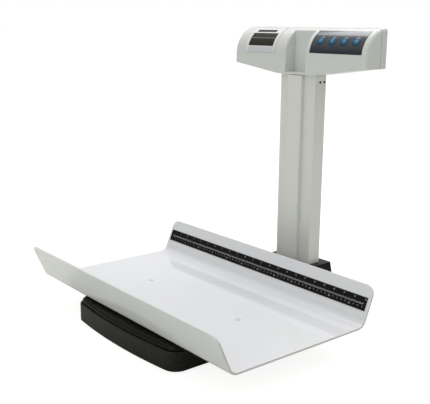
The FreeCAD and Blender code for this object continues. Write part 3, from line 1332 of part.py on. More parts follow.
fill_sheet()
make_tray()
make_ruler()
make_tray_fixings()
make_housing()
make_base_plate()
make_feet()
make_load_cell()
make_platform()
make_boot()
make_bracket()
make_column()
make_front_strip()
make_neck()
make_head_shells()
make_display()
make_keys()
make_boards()
make_battery_bay()
make_jack()
make_lead()
doc.recompute()
check()
write()
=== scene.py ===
import math

import bmesh
import bpy
from mathutils import Matrix, Vector


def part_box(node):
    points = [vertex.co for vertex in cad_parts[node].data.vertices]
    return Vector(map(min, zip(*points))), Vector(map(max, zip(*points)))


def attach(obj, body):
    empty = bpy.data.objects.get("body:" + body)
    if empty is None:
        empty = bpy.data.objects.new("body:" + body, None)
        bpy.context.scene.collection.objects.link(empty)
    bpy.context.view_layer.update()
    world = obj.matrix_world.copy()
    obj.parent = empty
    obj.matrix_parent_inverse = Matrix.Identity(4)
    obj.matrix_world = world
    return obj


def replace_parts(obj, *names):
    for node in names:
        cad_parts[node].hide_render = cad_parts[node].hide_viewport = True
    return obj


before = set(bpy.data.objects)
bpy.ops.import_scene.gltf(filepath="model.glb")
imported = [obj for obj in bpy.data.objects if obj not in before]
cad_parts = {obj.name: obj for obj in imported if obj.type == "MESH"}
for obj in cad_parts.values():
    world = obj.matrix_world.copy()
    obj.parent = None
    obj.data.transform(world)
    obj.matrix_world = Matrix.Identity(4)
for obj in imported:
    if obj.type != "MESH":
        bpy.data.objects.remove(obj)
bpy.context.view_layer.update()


# ============================================================ camera
# The scale is seen from its front right corner, a little above the tray,
# through a short portrait lens.
azimuth = math.radians(50.62)
elevation = math.radians(13.14)
roll = math.radians(0.51)
camera_place = (1.126, -0.93975, 0.581)
lens_length = 63.68
film_width = 36
far_limit = 100
backward = Vector((math.sin(azimuth) * math.cos(elevation),
                   -math.cos(azimuth) * math.cos(elevation), math.sin(elevation)))
level_right = Vector((math.cos(azimuth), math.sin(azimuth), 0))
level_up = backward.cross(level_right)
rightward = level_right * math.cos(roll) + level_up * math.sin(roll)
upward = level_up * math.cos(roll) - level_right * math.sin(roll)
camera = bpy.data.objects.new("camera", bpy.data.cameras.new("camera"))
camera.data.sensor_width = film_width
camera.data.lens = lens_length
camera.data.clip_end = far_limit
camera_turn = Matrix((rightward, upward, backward)).transposed().to_4x4()
camera.matrix_world = Matrix.Translation(camera_place) @ camera_turn
bpy.context.collection.objects.link(camera)
bpy.context.scene.camera = camera
bpy.context.scene.view_settings.view_transform = "Standard"


# ============================================================ table and light
# A plain white table that runs out of sight, under one wide soft box overhead,
# in a room that is brighter above than at the level of the table.
def feed(tree, node, entries):
    """Sets a node's inputs, each from a socket or a plain value."""
    for name, entry in entries.items():
        if isinstance(entry, bpy.types.NodeSocket):
            tree.links.new(entry, node.inputs[name])
        else:
            node.inputs[name].default_value = entry


def add(tree, kind, entries=None, **options):
    """A new node with these inputs and options."""
    node = tree.nodes.new(kind)
    for option, choice in options.items():
        setattr(node, option, choice)
    feed(tree, node, entries or {})
    return node


def math_node(tree, operation, first, second=0):
    return add(tree, "ShaderNodeMath", {0: first, 1: second}, operation=operation).outputs[0]


def times(tree, first, second):
    return math_node(tree, "MULTIPLY", first, second)


def ranged(tree, source, low, high, from_low=0.0, from_high=1.0):
    """A Map Range node's result, on its way from low to high."""
    return add(tree, "ShaderNodeMapRange", {
        "Value": source, "From Min": from_low, "From Max": from_high,
        "To Min": low, "To Max": high}).outputs["Result"]


table_reach = 40
table_colour = (0.71, 0.725, 0.665, 1)
table_strength = 1.45
table_glow_share = 0.6
table_corners = [(x * table_reach, y * table_reach, 0)
                 for x, y in ((-1, -1), (1, -1), (1, 1), (-1, 1))]
table_mesh = bpy.data.meshes.new("table")
table_mesh.from_pydata(table_corners, [], [(0, 1, 2, 3)])
table = bpy.data.objects.new("table", table_mesh)
bpy.context.collection.objects.link(table)
table_white = bpy.data.materials.new("table white")
table_white.use_nodes = True
table_tree = table_white.node_tree
table_tree.nodes.clear()
table_matt = add(table_tree, "ShaderNodeBsdfDiffuse", {"Color": table_colour})
table_glow = add(table_tree, "ShaderNodeEmission", {"Strength": table_strength})
table_eye = add(table_tree, "ShaderNodeLightPath").outputs["Is Camera Ray"]
table_mix = add(table_tree, "ShaderNodeMixShader", {
    0: ranged(table_tree, table_eye, 0.0, table_glow_share),
    1: table_matt.outputs[0], 2: table_glow.outputs[0]})
add(table_tree, "ShaderNodeOutputMaterial", {"Surface": table_mix.outputs[0]})
table_mesh.materials.append(table_white)

room = bpy.data.worlds.new("white room")
bpy.context.scene.world = room
room.use_nodes = True
room_tree = room.node_tree
room_way = add(room_tree, "ShaderNodeTexCoord").outputs["Generated"]
room_height = add(room_tree, "ShaderNodeSeparateXYZ", {0: room_way}).outputs["Z"]
room_eye = add(room_tree, "ShaderNodeLightPath").outputs["Is Camera Ray"]
overhead = ranged(room_tree, room_height, 0.16, 0.95, 0.15, 0.85)
backdrop_way = (-0.78, 0.62, 0)
towards = add(room_tree, "ShaderNodeVectorMath", {0: room_way, 1: backdrop_way}, operation="DOT_PRODUCT")
backdrop_side = ranged(room_tree, towards.outputs["Value"], 0.0, 0.75, 0.45, 0.9)
backdrop_low = ranged(room_tree, room_height, 1.0, 0.0, 0.25, 0.6)
room_level = math_node(room_tree, "MAXIMUM", overhead, times(room_tree, backdrop_side, backdrop_low))
room_strength = math_node(room_tree, "MAXIMUM", room_level, room_eye)
feed(room_tree, room_tree.nodes["Background"], {"Color": (1, 1, 1, 1), "Strength": room_strength})

for name, place, aim, size, power, colour in (
        ("softbox", (-0.45, 1.25, 2.25), (-0.45, 1.25, 0), (2.2, 2.0), 44, (1, 1, 1)),
        ("fill", (0.3, -2.9, 1.3), (0, 0, 0.3), (2.4, 1.6), 18, (0.985, 1.0, 0.95))):
    lamp = bpy.data.lights.new(name, "AREA")
    lamp.shape = "RECTANGLE"
    lamp.size, lamp.size_y = size
    lamp.energy = power
    lamp.color = colour
    lamp_object = bpy.data.objects.new(name, lamp)
    lamp_object.location = place
    lamp_object.rotation_euler = (Vector(aim) - Vector(place)).to_track_quat("-Z", "Y").to_euler()
    bpy.context.collection.objects.link(lamp_object)


# ============================================================ tray
# The tray is one thick sheet of glossy white plastic, hot-bent along two lines into a front
# wall, a floor and a back wall. Its sawn ends are duller, and two screws hold it on its pads.
def new_material(name):
    """A new material, its node tree and its shader."""
    material = bpy.data.materials.new(name)
    material.use_nodes = True
    return material, material.node_tree, material.node_tree.nodes["Principled BSDF"]


def place_on_piece(tree):
    return add(tree, "ShaderNodeTexCoord").outputs["Object"]


def two_shades(tree, first, second, share):
    """A colour between two shades. share is a socket that goes from 0 to 1."""
    first = first if isinstance(first, bpy.types.NodeSocket) else (*first, 1)
    return add(tree, "ShaderNodeMix", {"A": first, "B": (*second, 1), "Factor": share},
               data_type="RGBA").outputs["Result"]


def noise(tree, place, scale, detail):
    texture = add(tree, "ShaderNodeTexNoise", {"Vector": place, "Scale": scale, "Detail": detail})
    return texture.outputs["Fac"]


def moulding(name, shades, roughness, grain, height, cloud=3.0, coat=0.0, specular=0.5):
    """A moulded or coated surface: two close shades in soft clouds, an uneven polish and a fine
    grain. cloud and grain are in features per metre, and height is the grain's, in metres."""
    coat_roughness = 0.06
    polish_fineness = 9
    material, tree, shader = new_material(name)
    place = place_on_piece(tree)
    relief = add(tree, "ShaderNodeBump", {
        "Strength": 1.0, "Distance": height, "Height": noise(tree, place, grain, 1)})
    feed(tree, shader, {
        "Base Color": two_shades(tree, *shades, noise(tree, place, cloud, 3)),
        "Roughness": ranged(tree, noise(tree, place, cloud * polish_fineness, 4), *roughness, 0.3, 0.7),
        "Normal": relief.outputs["Normal"], "Specular IOR Level": specular,
        "Coat Weight": coat, "Coat Roughness": coat_roughness})
    return material


def finish_nodes(material, *names):
    """Gives the CAD pieces of these names a finish."""
    for name in names:
        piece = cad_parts[name]
        if not piece.material_slots:
            piece.data.materials.append(material)
        for slot in piece.material_slots:
            slot.material = material


def blended(material, share, shade):
    """Blends a finish towards another shade. share is a socket that goes from 0 to 1."""
    tree = material.node_tree
    colour = tree.nodes["Principled BSDF"].inputs["Base Color"]
    tree.links.new(two_shades(tree, colour.links[0].from_socket, shade, share), colour)


def object_axis(material, axis):
    """A finish's own place along one axis of its piece, as a socket."""
    tree = material.node_tree
    return add(tree, "ShaderNodeSeparateXYZ", {0: place_on_piece(tree)}).outputs[axis]


tray_white = moulding("tray white", ((0.735, 0.74, 0.755), (0.715, 0.72, 0.735)), (0.06, 0.09), 25, 0.00001,
                      coat=0.2)
sawn_white = (0.59, 0.58, 0.575)
tray_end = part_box("tray")[1].x
sawn_start, sawn_full = tray_end - 0.0006, tray_end - 0.0001
tray_tree = tray_white.node_tree
off_middle = math_node(tray_tree, "ABSOLUTE", object_axis(tray_white, "X"))
blended(tray_white, ranged(tray_tree, off_middle, 0.0, 1.0, sawn_start, sawn_full), sawn_white)
finish_nodes(tray_white, "tray")


# ============================================================ ruler
# A black self-adhesive strip on the tray's back wall. Inches run along its
# upper half and centimetres along its lower half, printed in white.
ruler_black = moulding("ruler black", ((0.004, 0.004, 0.0045), (0.007, 0.007, 0.0075)), (0.38, 0.5), 1500,
                       0.000004, specular=0.12)
ruler_white = moulding("ruler white", ((0.46, 0.46, 0.45), (0.40, 0.40, 0.39)), (0.4, 0.5), 1500, 0.000004,
                       specular=0.12)
finish_nodes(ruler_black, "ruler_strip")
ruler_low, ruler_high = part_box("ruler_strip")
wall_rise, wall_lean = 0.0725, 0.030
wall_angle = math.atan2(wall_rise, wall_lean)
wall_up = Vector((0, math.cos(wall_angle), math.sin(wall_angle)))
wall_out = Vector((0, -math.sin(wall_angle), math.cos(wall_angle)))
strip_lift = 0.0004
strip_face = (ruler_low + ruler_high) / 2 + wall_out * strip_lift
strip_turn = Matrix((Vector((1, 0, 0)), wall_up, wall_out)).transposed().to_4x4()
on_strip = Matrix.Translation(strip_face) @ strip_turn
print_thickness = 0.00012
inch = 0.0254
ruler_zero = -0.2897


def new_tree(name, **inputs):
    """A Geometry Nodes tree with named inputs of each kind, their sockets, and its output node."""
    tree = bpy.data.node_groups.new(name, "GeometryNodeTree")
    tree.interface.new_socket("Geometry", in_out="OUTPUT", socket_type="NodeSocketGeometry")
    for kind, labels in {"Geometry": ["Geometry"], **inputs}.items():
        for label in labels:
            tree.interface.new_socket(label, in_out="INPUT", socket_type=f"NodeSocket{kind}")
    return tree, tree.nodes.new("NodeGroupInput").outputs, tree.nodes.new("NodeGroupOutput")


def vector_of(tree, **axes):
    """A vector with the named axes set from sockets or plain numbers."""
    return add(tree, "ShaderNodeCombineXYZ", axes).outputs[0]


def moved(tree, geometry, **axes):
    return add(tree, "GeometryNodeTransform", {
        "Geometry": geometry, "Translation": vector_of(tree, **axes)}).outputs[0]


def painted(tree, geometry, material):
    return add(tree, "GeometryNodeSetMaterial", {"Geometry": geometry, "Material": material}).outputs[0]


def on_each_point(tree, points, instance, **pose):
    """The instance on each point, as one real mesh. pose is its Rotation and its Scale."""
    copies = add(tree, "GeometryNodeInstanceOnPoints", {"Points": points, "Instance": instance, **pose})
    return add(tree, "GeometryNodeRealizeInstances", {0: copies.outputs[0]}).outputs[0]


def settled(thing):
    """The plain mesh that an object's modifiers or its font make of it."""
    bpy.context.view_layer.update()
    return bpy.data.meshes.new_from_object(thing.evaluated_get(bpy.context.evaluated_depsgraph_get()))


def grown(name, points, tree, settings, body, replaced=(), place=None):
    """The plain mesh that a tree makes from a list of points, as a piece that rides on a body."""
    seed = bpy.data.meshes.new(name)
    seed.from_pydata([tuple(point) for point in points], [], [])
    thing = bpy.data.objects.new(name, seed)
    bpy.context.collection.objects.link(thing)
    modifier = thing.modifiers.new(name, "NODES")
    modifier.node_group = tree
    for socket in tree.interface.items_tree:
        if socket.in_out == "INPUT" and socket.name in settings:
            modifier[socket.identifier] = settings[socket.name]
    mesh = settled(thing)
    thing.modifiers.clear()
    thing.data = mesh
    if place:
        mesh.transform(place)
    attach(thing, body)
    if replaced:
        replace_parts(thing, *replaced)


def as_mesh(name, shape):
    """A finished shape as a plain mesh."""
    mesh = bpy.data.meshes.new(name)
    shape.to_mesh(mesh)
    shape.free()
    return mesh


def placed(name, mesh, material, body):
    """A mesh of one material as a piece that rides on a body."""
    mesh.materials.append(material)
    thing = bpy.data.objects.new(name, mesh)
    bpy.context.collection.objects.link(thing)
    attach(thing, body)
    return thing


def bar_row_tree():
    """Flat bars in a row along X, some of them longer than the rest."""
    tree, given, result = new_tree(
        "bar row", Int=("Count", "Long Every", "Middle Every"), Material=["Ink"],
        Float=("Start", "Pitch", "Base", "Side", "Long", "Middle", "Short", "Width", "Thickness"))
    row = add(tree, "GeometryNodeMeshLine", {
        "Count": given["Count"], "Start Location": vector_of(tree, X=given["Start"], Y=given["Base"]),
        "Offset": vector_of(tree, X=given["Pitch"])})
    index = add(tree, "GeometryNodeInputIndex").outputs[0]
    length = given["Short"]
    for every, size in (("Middle Every", "Middle"), ("Long Every", "Long")):
        left_over = math_node(tree, "MODULO", index, given[every])
        length = add(tree, "GeometryNodeSwitch", {
            "Switch": math_node(tree, "LESS_THAN", left_over, 0.5), "False": length, "True": given[size]},
            input_type="FLOAT").outputs[0]
    bar = add(tree, "GeometryNodeMeshCube", {"Size": (1, 1, 1)})
    standing = moved(tree, bar.outputs["Mesh"], Y=times(tree, given["Side"], 0.5))
    size = vector_of(tree, X=given["Width"], Y=length, Z=given["Thickness"])
    bars = on_each_point(tree, row.outputs["Mesh"], standing, Scale=size)
    feed(tree, result, {0: painted(tree, bars, given["Ink"])})
    return tree


bar_rows = bar_row_tree()


def ruled(name, count, pitch, base, side, every, lengths, width, start=ruler_zero):
    """A row of printed marks on the strip. side is 1 for marks that stand up from base."""
    grown(name, [(0, 0, 0)], bar_rows, {
        "Count": count, "Start": start, "Pitch": pitch, "Base": base, "Side": side,
        "Long Every": every[0], "Middle Every": every[1], "Long": lengths[0], "Middle": lengths[1],
        "Short": lengths[2], "Width": width, "Thickness": print_thickness, "Ink": ruler_white},
        "platform", place=on_strip)


def printed_numbers(name, spots, height):
    """Numbers as thin solid shapes on the strip, each centred at its place along it and up it."""
    joined = bmesh.new()
    for words, along, up in spots:
        text = bpy.data.curves.new(name, "FONT")
        text.body = words
        text.size = height
        text.align_x = "CENTER"
        text.extrude = print_thickness / 2
        text.resolution_u = 3
        holder = bpy.data.objects.new(name, text)
        bpy.context.collection.objects.link(holder)
        shape = settled(holder)
        shape.transform(Matrix.Translation((along, up, 0)))
        joined.from_mesh(shape)
        bpy.data.objects.remove(holder)
    bmesh.ops.remove_doubles(joined, verts=joined.verts, dist=1e-7)
    mesh = as_mesh(name, joined)
    mesh.transform(on_strip)
    placed(name, mesh, ruler_white, "platform")


marks_apart, lines_apart, line_width = 0.0006, 0.0004, 0.0003
ruled("ruler_inch_marks", 184, inch / 8, marks_apart, 1.0, (8, 4), (0.0020, 0.0015, 0.0010), 0.0004)
ruled("ruler_millimetre_marks", 581, 0.001, -marks_apart, -1.0, (10, 5), (0.0022, 0.0017, 0.0012), 0.0003)
ruled("ruler_upper_line", 1, 0.1, lines_apart, 1.0, (1, 1), [line_width] * 3, 0.5842, start=0.0024)
ruled("ruler_lower_line", 1, 0.1, -lines_apart, -1.0, (1, 1), [line_width] * 3, 0.58, start=0.0003)
number_row, fifth_row = 0.0069, 0.0086
inch_numbers = [(str(n), ruler_zero + n * inch, number_row) for n in range(1, 24)]
centimetre_numbers = [(str(n), ruler_zero + n * 0.01, -number_row) for n in range(1, 59) if n % 5]
fifth_numbers = [(str(n), ruler_zero + n * 0.01, -fifth_row) for n in range(5, 60, 5)]
printed_numbers("ruler_inch_numbers", inch_numbers, 0.0044)
printed_numbers("ruler_centimetre_numbers", centimetre_numbers, 0.0030)
printed_numbers("ruler_fifth_numbers", fifth_numbers, 0.0046)


# ============================================================ tray screws and pads
# Two countersunk screws with a cross recess go down through the tray's floor
# and its rubber pads into the platform. They are painted white, like the tray.
def cone(tree, low_radius, high_radius, depth, sides, foot=0.0):
    """A drum or a cone that stands with its foot at this level."""
    node = add(tree, "GeometryNodeMeshCone", {
        "Vertices": sides, "Radius Bottom": low_radius, "Radius Top": high_radius, "Depth": depth})
    return moved(tree, node.outputs["Mesh"], Z=foot)


def block(tree, middle, **size):
    """A box with its middle at this level."""
    node = add(tree, "GeometryNodeMeshCube", {"Size": vector_of(tree, **size)})
    return moved(tree, node.outputs["Mesh"], Z=middle)


def boolean(tree, operation, tools, first=None):
    """What the operation makes of the first mesh and its tools, or of the tools alone."""
    node = add(tree, "GeometryNodeMeshBoolean", operation=operation)
    if first:
        tree.links.new(first, node.inputs["Mesh 1"])
    for tool in tools:
        tree.links.new(tool, node.inputs["Mesh 2"])
    return node.outputs["Mesh"]


def together(tree, *parts):
    node = tree.nodes.new("GeometryNodeJoinGeometry")
    for part in parts:
        tree.links.new(part, node.inputs[0])
    return node.outputs[0]


def cross_screw_tree():
    """A screw on each point, with a domed head, a cross recess and a plain shank."""
    tree, given, result = new_tree(
        "cross screws", Vector=["Turn"], Material=["Metal"],
        Float=("Head Radius", "Seat Radius", "Head Height", "Dome", "Recess", "Recess Width", "Recess Depth",
               "Shank Radius", "Shank Length"))
    head_sides, ball_sides, shank_sides = 32, 64, 20
    share_below_head = 0.999
    head_height, dome = given["Head Height"], given["Dome"]
    head = cone(tree, given["Seat Radius"], given["Head Radius"], head_height, head_sides)
    ball = add(tree, "GeometryNodeMeshUVSphere", {
        "Segments": ball_sides, "Rings": ball_sides, "Radius": dome})
    crown = moved(tree, ball.outputs["Mesh"], Z=math_node(tree, "SUBTRACT", head_height, dome))
    blades = []
    for long_side, short_side in (("X", "Y"), ("Y", "X")):
        blades.append(block(tree, head_height, Z=times(tree, given["Recess Depth"], 2.0), **{
            long_side: given["Recess"], short_side: given["Recess Width"]}))
    recessed = boolean(tree, "DIFFERENCE", blades, boolean(tree, "INTERSECT", (head, crown)))
    shank_radius, shank_length = given["Shank Radius"], given["Shank Length"]
    shank = cone(tree, shank_radius, shank_radius, shank_length, shank_sides,
                 times(tree, shank_length, -share_below_head))
    screws = on_each_point(tree, given["Geometry"], together(tree, recessed, shank), Rotation=given["Turn"])
    feed(tree, result, {0: painted(tree, screws, given["Metal"])})
    return tree


def plated_metal(name, colour, roughness, stretch):
    """Plated or machined metal. stretch makes the streaks in it longer or shorter along X, Y, Z."""
    darkest, smoothest, roughest = 0.82, 0.7, 1.3
    streak_fineness = 60
    material, tree, shader = new_material(name)
    place = add(tree, "ShaderNodeMapping", {"Vector": place_on_piece(tree), "Scale": stretch})
    streaks = noise(tree, place.outputs["Vector"], streak_fineness, 4)
    feed(tree, shader, {
        "Metallic": 1.0, "Base Color": two_shades(tree, [part * darkest for part in colour], colour, streaks),
        "Roughness": ranged(tree, streaks, roughness * smoothest, roughness * roughest)})
    return material


cross_screws = cross_screw_tree()
recess_span, recess_width, recess_depth = 1.24, 0.28, 0.55


def fasten(name, node, points, turn, head, dome, shank, metal, body="stand", seat=None):
    """Screws on their points in place of a CAD node. head and shank are radius and length, seat is
    a countersunk head's radius at its foot, and turn brings +Z to the way that the heads face."""
    grown(name, points, cross_screws, {
        "Head Radius": head[0], "Seat Radius": seat or head[0], "Head Height": head[1], "Dome": dome,
        "Recess": head[0] * recess_span, "Recess Width": head[0] * recess_width,
        "Recess Depth": head[1] * recess_depth, "Shank Radius": shank[0], "Shank Length": shank[1],
        "Turn": turn, "Metal": metal}, body, [node])


screw_white = moulding("screw white", ((0.60, 0.61, 0.61), (0.54, 0.55, 0.55)), (0.25, 0.35), 900, 0.00001)
soft_rubber = moulding("soft rubber", ((0.016, 0.016, 0.016), (0.028, 0.028, 0.028)), (0.65, 0.8), 700,
                       0.00002)
finish_nodes(soft_rubber, "tray_pads")
tray_y = -0.07275
tray_screw_x = 0.14
tray_head = (0.0045, 0.0025)
tray_head_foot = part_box("tray_screws")[1].z - tray_head[1]
tray_screw_spots = [(x, tray_y, tray_head_foot) for x in (-tray_screw_x, tray_screw_x)]
fasten("tray_screw_pair", "tray_screws", tray_screw_spots, (0, 0, 0), tray_head, 0.018, (0.002, 0.0066),
       screw_white, "platform", seat=0.002)


# ============================================================ platform cover, housing and boot
# All are black plastic mouldings, the housing with a fine eroded grain, the
# cover smoother and the boot nearly glossy. The cover lies on a steel spider,
# clear of the housing's rim, and two screws from below hold the boot.
black_grain = moulding("black grained plastic", ((0.009, 0.0078, 0.0055), (0.0125, 0.011, 0.008)),
                       (0.26, 0.36), 2600, 0.000012, cloud=6, specular=0.22)
black_smooth = moulding("black smooth plastic", ((0.005, 0.0045, 0.0035), (0.007, 0.0063, 0.005)),
                        (0.18, 0.25), 2600, 0.000006, cloud=6, specular=0.13)
black_satin = moulding("black satin plastic", ((0.003, 0.0022, 0.002), (0.004, 0.003, 0.0028)),
                       (0.12, 0.18), 2600, 0.000003, cloud=6, specular=0.1)
finish_nodes(black_grain, "base_housing")
finish_nodes(black_smooth, "platform_cover")
finish_nodes(black_satin, "column_boot")


# ============================================================ feet
# Six soft rubber discs are pressed onto pins under the housing. Each has a
# ring groove in its sole and the pin's hole in its middle.
def foot_tree():
    """A grooved rubber disc on each point, which is the middle of its sole."""
    tree, given, result = new_tree(
        "rubber feet", Float=("Radius", "Height", "Hole", "Groove", "Groove Width"), Material=["Rubber"])
    sides = 64
    bevel, ring_drop, ring_lift, core_height, hole_height = 0.5, -0.5, 0.4, 3.0, 1.6    # in foot heights
    radius, height, groove = given["Radius"], given["Height"], given["Groove"]

    def disc(size, share, foot=0.0):
        return cone(tree, size, size, times(tree, height, share), sides, foot)

    inside = math_node(tree, "SUBTRACT", groove, given["Groove Width"])
    outside = disc(groove, 1.0, times(tree, height, ring_drop))
    ring = boolean(tree, "DIFFERENCE", [disc(inside, core_height)], outside)
    sunk = moved(tree, ring, Z=times(tree, height, ring_lift))
    sole = math_node(tree, "SUBTRACT", radius, times(tree, height, bevel))
    plain = cone(tree, sole, radius, height, sides)
    foot = boolean(tree, "DIFFERENCE", [sunk, disc(given["Hole"], hole_height)], plain)
    feet = on_each_point(tree, given["Geometry"], foot)
    feed(tree, result, {0: painted(tree, feet, given["Rubber"])})
    return tree


foot_names = [f"foot_{end}_{side}" for end in ("front", "back", "arm") for side in ("left", "right")]
foot_spots = []
for name in foot_names:
    low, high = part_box(name)
    foot_spots.append(((low.x + high.x) / 2, (low.y + high.y) / 2, low.z))
grown("rubber_feet", foot_spots, foot_tree(), {
    "Radius": 0.015, "Height": 0.003, "Hole": 0.0022, "Groove": 0.0105, "Groove Width": 0.0016,
    "Rubber": soft_rubber}, "stand", foot_names)


# ============================================================ screws under the base
# Four plated screws clamp the base plate and two hold the boot. Their heads
# lie in counterbores under the housing.
zinc = plated_metal("zinc plate", (0.62, 0.62, 0.6), 0.35, (1, 1, 1))
base_head, base_dome = (0.004, 0.002), 0.006
base_seat = 0.005
base_screw_x, base_screw_y = 0.129, 0.088
faces_down = (math.pi, 0, 0)
base_screw_spots = [(x, tray_y + y, base_seat) for x in (-base_screw_x, base_screw_x)
                    for y in (-base_screw_y, base_screw_y)]
fasten("base_screw_set", "base_screws", base_screw_spots, faces_down, base_head, base_dome, (0.002, 0.004),
       zinc)
boot_low, boot_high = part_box("boot_screws")
boot_screw_x = boot_high.x - base_head[0]
boot_screw_spots = [(x, (boot_low.y + boot_high.y) / 2, base_seat) for x in (-boot_screw_x, boot_screw_x)]
fasten("boot_screw_pair", "boot_screws", boot_screw_spots, faces_down, base_head, base_dome, (0.002, 0.016),
       zinc)


# ============================================================ steel and load cell
# Plated sheet steel and a machined aluminium bar carry the load. The mouldings
# hide all of it.
plated_sheet = plated_metal("plated sheet", (0.5, 0.5, 0.48), 0.4, (1, 6, 1))
machined_bar = plated_metal("machined bar", (0.75, 0.75, 0.76), 0.3, (1, 30, 1))
finish_nodes(plated_sheet, "base_plate", "platform_spider", "column_bracket", "neck_bracket", "lower_spacer",
             "upper_spacer", "overload_stops")
finish_nodes(machined_bar, "load_cell_fixed_half", "load_cell_free_half")
finish_nodes(zinc, "load_cell_screws", "platform_screws", "bracket_screws", "neck_screws")


# ============================================================ column
# An aluminium profile with a light grey powder coat. A narrower cover strip of
# the same finish stands off its front, and small black screws hold the neck.
powder_coat = moulding("light grey powder coat", ((0.72, 0.73, 0.70), (0.695, 0.705, 0.675)), (0.3, 0.4),
                       1400, 0.000012, cloud=5)
black_steel = plated_metal("blackened steel", (0.03, 0.03, 0.032), 0.4, (1, 1, 1))
finish_nodes(powder_coat, "column_profile", "column_front_strip")
column_side = 0.05
side_head = (0.0025, 0.0015)
side_low, side_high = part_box("column_side_screws")
side_level = (side_low.z + side_high.z) / 2
for side, name in ((-1, "left"), (1, "right")):
    spots = [(side * column_side, y, side_level)
             for y in (side_low.y + side_head[0], side_high.y - side_head[0])]
    fasten(f"column_side_screws_{name}", "column_side_screws", spots, (0, side * math.pi / 2, 0), side_head,
           0.004, (0.0015, 0.006), black_steel)
lower_screw_x = 0.025
lower_head = (0.004, 0.002)
lower_low, lower_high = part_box("column_lower_screws")
lower_level = (lower_low.z + lower_high.z) / 2
lower_spots = [(x, lower_high.y - lower_head[1], lower_level) for x in (-lower_screw_x, lower_screw_x)]
faces_back = (-math.pi / 2, 0, 0)
fasten("column_lower_screw_pair", "column_lower_screws", lower_spots, faces_back, lower_head, 0.006,
       (0.002, 0.0055), black_steel)


# ============================================================ head shells
# Two light grey mouldings with a fine grain: a quarter-round front and a flat
# rear cover. A thin dark strip of painted shade stands for the shadow in the gap where they meet round the
# ends and the top.
head_grain = moulding("light grey grained plastic", ((0.67, 0.68, 0.665), (0.645, 0.655, 0.64)),
                      (0.3, 0.4), 2200, 0.000012, cloud=5)
# Painted shade: a dark grey strip standing in for the shadow inside the parting gap between the two shells.
painted_gap_shade = moulding("painted gap shade", ((0.10, 0.10, 0.095), (0.14, 0.14, 0.135)), (0.6, 0.7), 900, 0.00001)
finish_nodes(head_grain, "head_front_shell", "head_rear_cover")
cover_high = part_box("head_rear_cover")[1]
parting_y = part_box("head_front_shell")[1].y
parting_width = 0.0007
parting_proud = 0.00004
parting_clear = 0.00002
end_band, end_face, top_band = 0.184, 0.1845, 0.006
parting = bmesh.new()
parting.from_mesh(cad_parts["head_rear_cover"].data)


def slab(shape, low, high):
    """Keeps what lies between two levels of Y and closes the cuts."""
    for level, way in ((low, -1), (high, 1)):
        everything = shape.verts[:] + shape.edges[:] + shape.faces[:]
        bmesh.ops.bisect_plane(shape, geom=everything, plane_co=(0, level, 0), plane_no=(0, way, 0),
                               clear_outer=True)
        bmesh.ops.holes_fill(shape, edges=[edge for edge in shape.edges if edge.is_boundary])


slab(parting, parting_y + parting_clear, parting_y + parting_width)
for vert in parting.verts:
    if abs(vert.co.x) > end_band or vert.co.z > cover_high.z - top_band:
        vert.co.x += math.copysign(parting_proud, vert.co.x) if abs(vert.co.x) > end_face else 0
        vert.co.z += parting_proud
placed("head_parting_line", as_mesh("head_parting_line", parting), painted_gap_shade, "stand")
rear_head = (0.0025, 0.0018)
rear_low, rear_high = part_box("rear_cover_screws")
rear_spots = [(x, rear_high.y - rear_head[1], z)
              for x in (rear_low.x + rear_head[0], rear_high.x - rear_head[0])
              for z in (rear_low.z + rear_head[0], rear_high.z - rear_head[0])]
fasten("rear_cover_screw_set", "rear_cover_screws", rear_spots, faces_back, rear_head, 0.005,
       (0.0015, 0.018), black_steel)


# ============================================================ display
# A pale printed overlay with a bare bluish field follows the head's curved front.
# It has black borders round a smoked window over the liquid crystal glass and
# round a narrow smoked strip above it.
front_radius = 0.059
overlay_thickness = 0.0005
curve_y = cover_high.y
curve_z = cover_high.z - front_radius
overlay_radius = front_radius + overlay_thickness


def on_front(x, along, lift):
    """A point on the head's curved front: x, the way up round the curve, and the height over the
    overlays."""
    angle = along / overlay_radius
    reach = overlay_radius + lift
    return Vector((x, curve_y - reach * math.cos(angle), curve_z + reach * math.sin(angle)))


def up_front(degrees):
    return math.radians(degrees) * overlay_radius


def linked(name, shape, material, body):
    """A finished shape, smooth between its sharp edges, as a piece that rides on a body."""
    bmesh.ops.recalc_face_normals(shape, faces=shape.faces)
    mesh = as_mesh(name, shape)
    mesh.shade_smooth()
    mesh.set_sharp_from_angle(angle=math.radians(30))
    return placed(name, mesh, material, body)


def skin(shape, loops):
    """Faces between each loop of points and the next."""
    for one, two in zip(loops, loops[1:]):
        for n in range(len(one)):
            m = (n + 1) % len(one)
            shape.faces.new((one[n], one[m], two[m], two[n]))


def ribbons(name, paths, width, low, high, place, material, body):
    """Raised lines. Each path is a list of (u, v) and whether it closes, and place gives the point
    in space of u, v and a height."""
    shape = bmesh.new()
    step = 0.0012
    for path, closed in paths:
        ends = path + path[:1] if closed else path
        spots = []
        for (u0, v0), (u1, v1) in zip(ends, ends[1:]):
            parts = max(1, math.ceil(math.hypot(u1 - u0, v1 - v0) / step))
            spots += [(u0 + (u1 - u0) * n / parts, v0 + (v1 - v0) * n / parts) for n in range(parts)]
        if not closed:
            spots.append(path[-1])
        rings = []
        for n, (u, v) in enumerate(spots):
            before = spots[n - 1] if n or closed else spots[n]
            after = spots[(n + 1) % len(spots)] if n + 1 < len(spots) or closed else spots[n]
            along = Vector((after[0] - before[0], after[1] - before[1])).normalized()
            side_u, side_v = -along.y * width / 2, along.x * width / 2
            rings.append([shape.verts.new(place(u + side_u * a, v + side_v * a, lift))
                          for a, lift in ((1, low), (-1, low), (-1, high), (1, high))])
        if not closed:
            shape.faces.new(rings[0][::-1])
            shape.faces.new(rings[-1])
        skin(shape, rings + rings[:1] if closed else rings)
    return linked(name, shape, material, body)


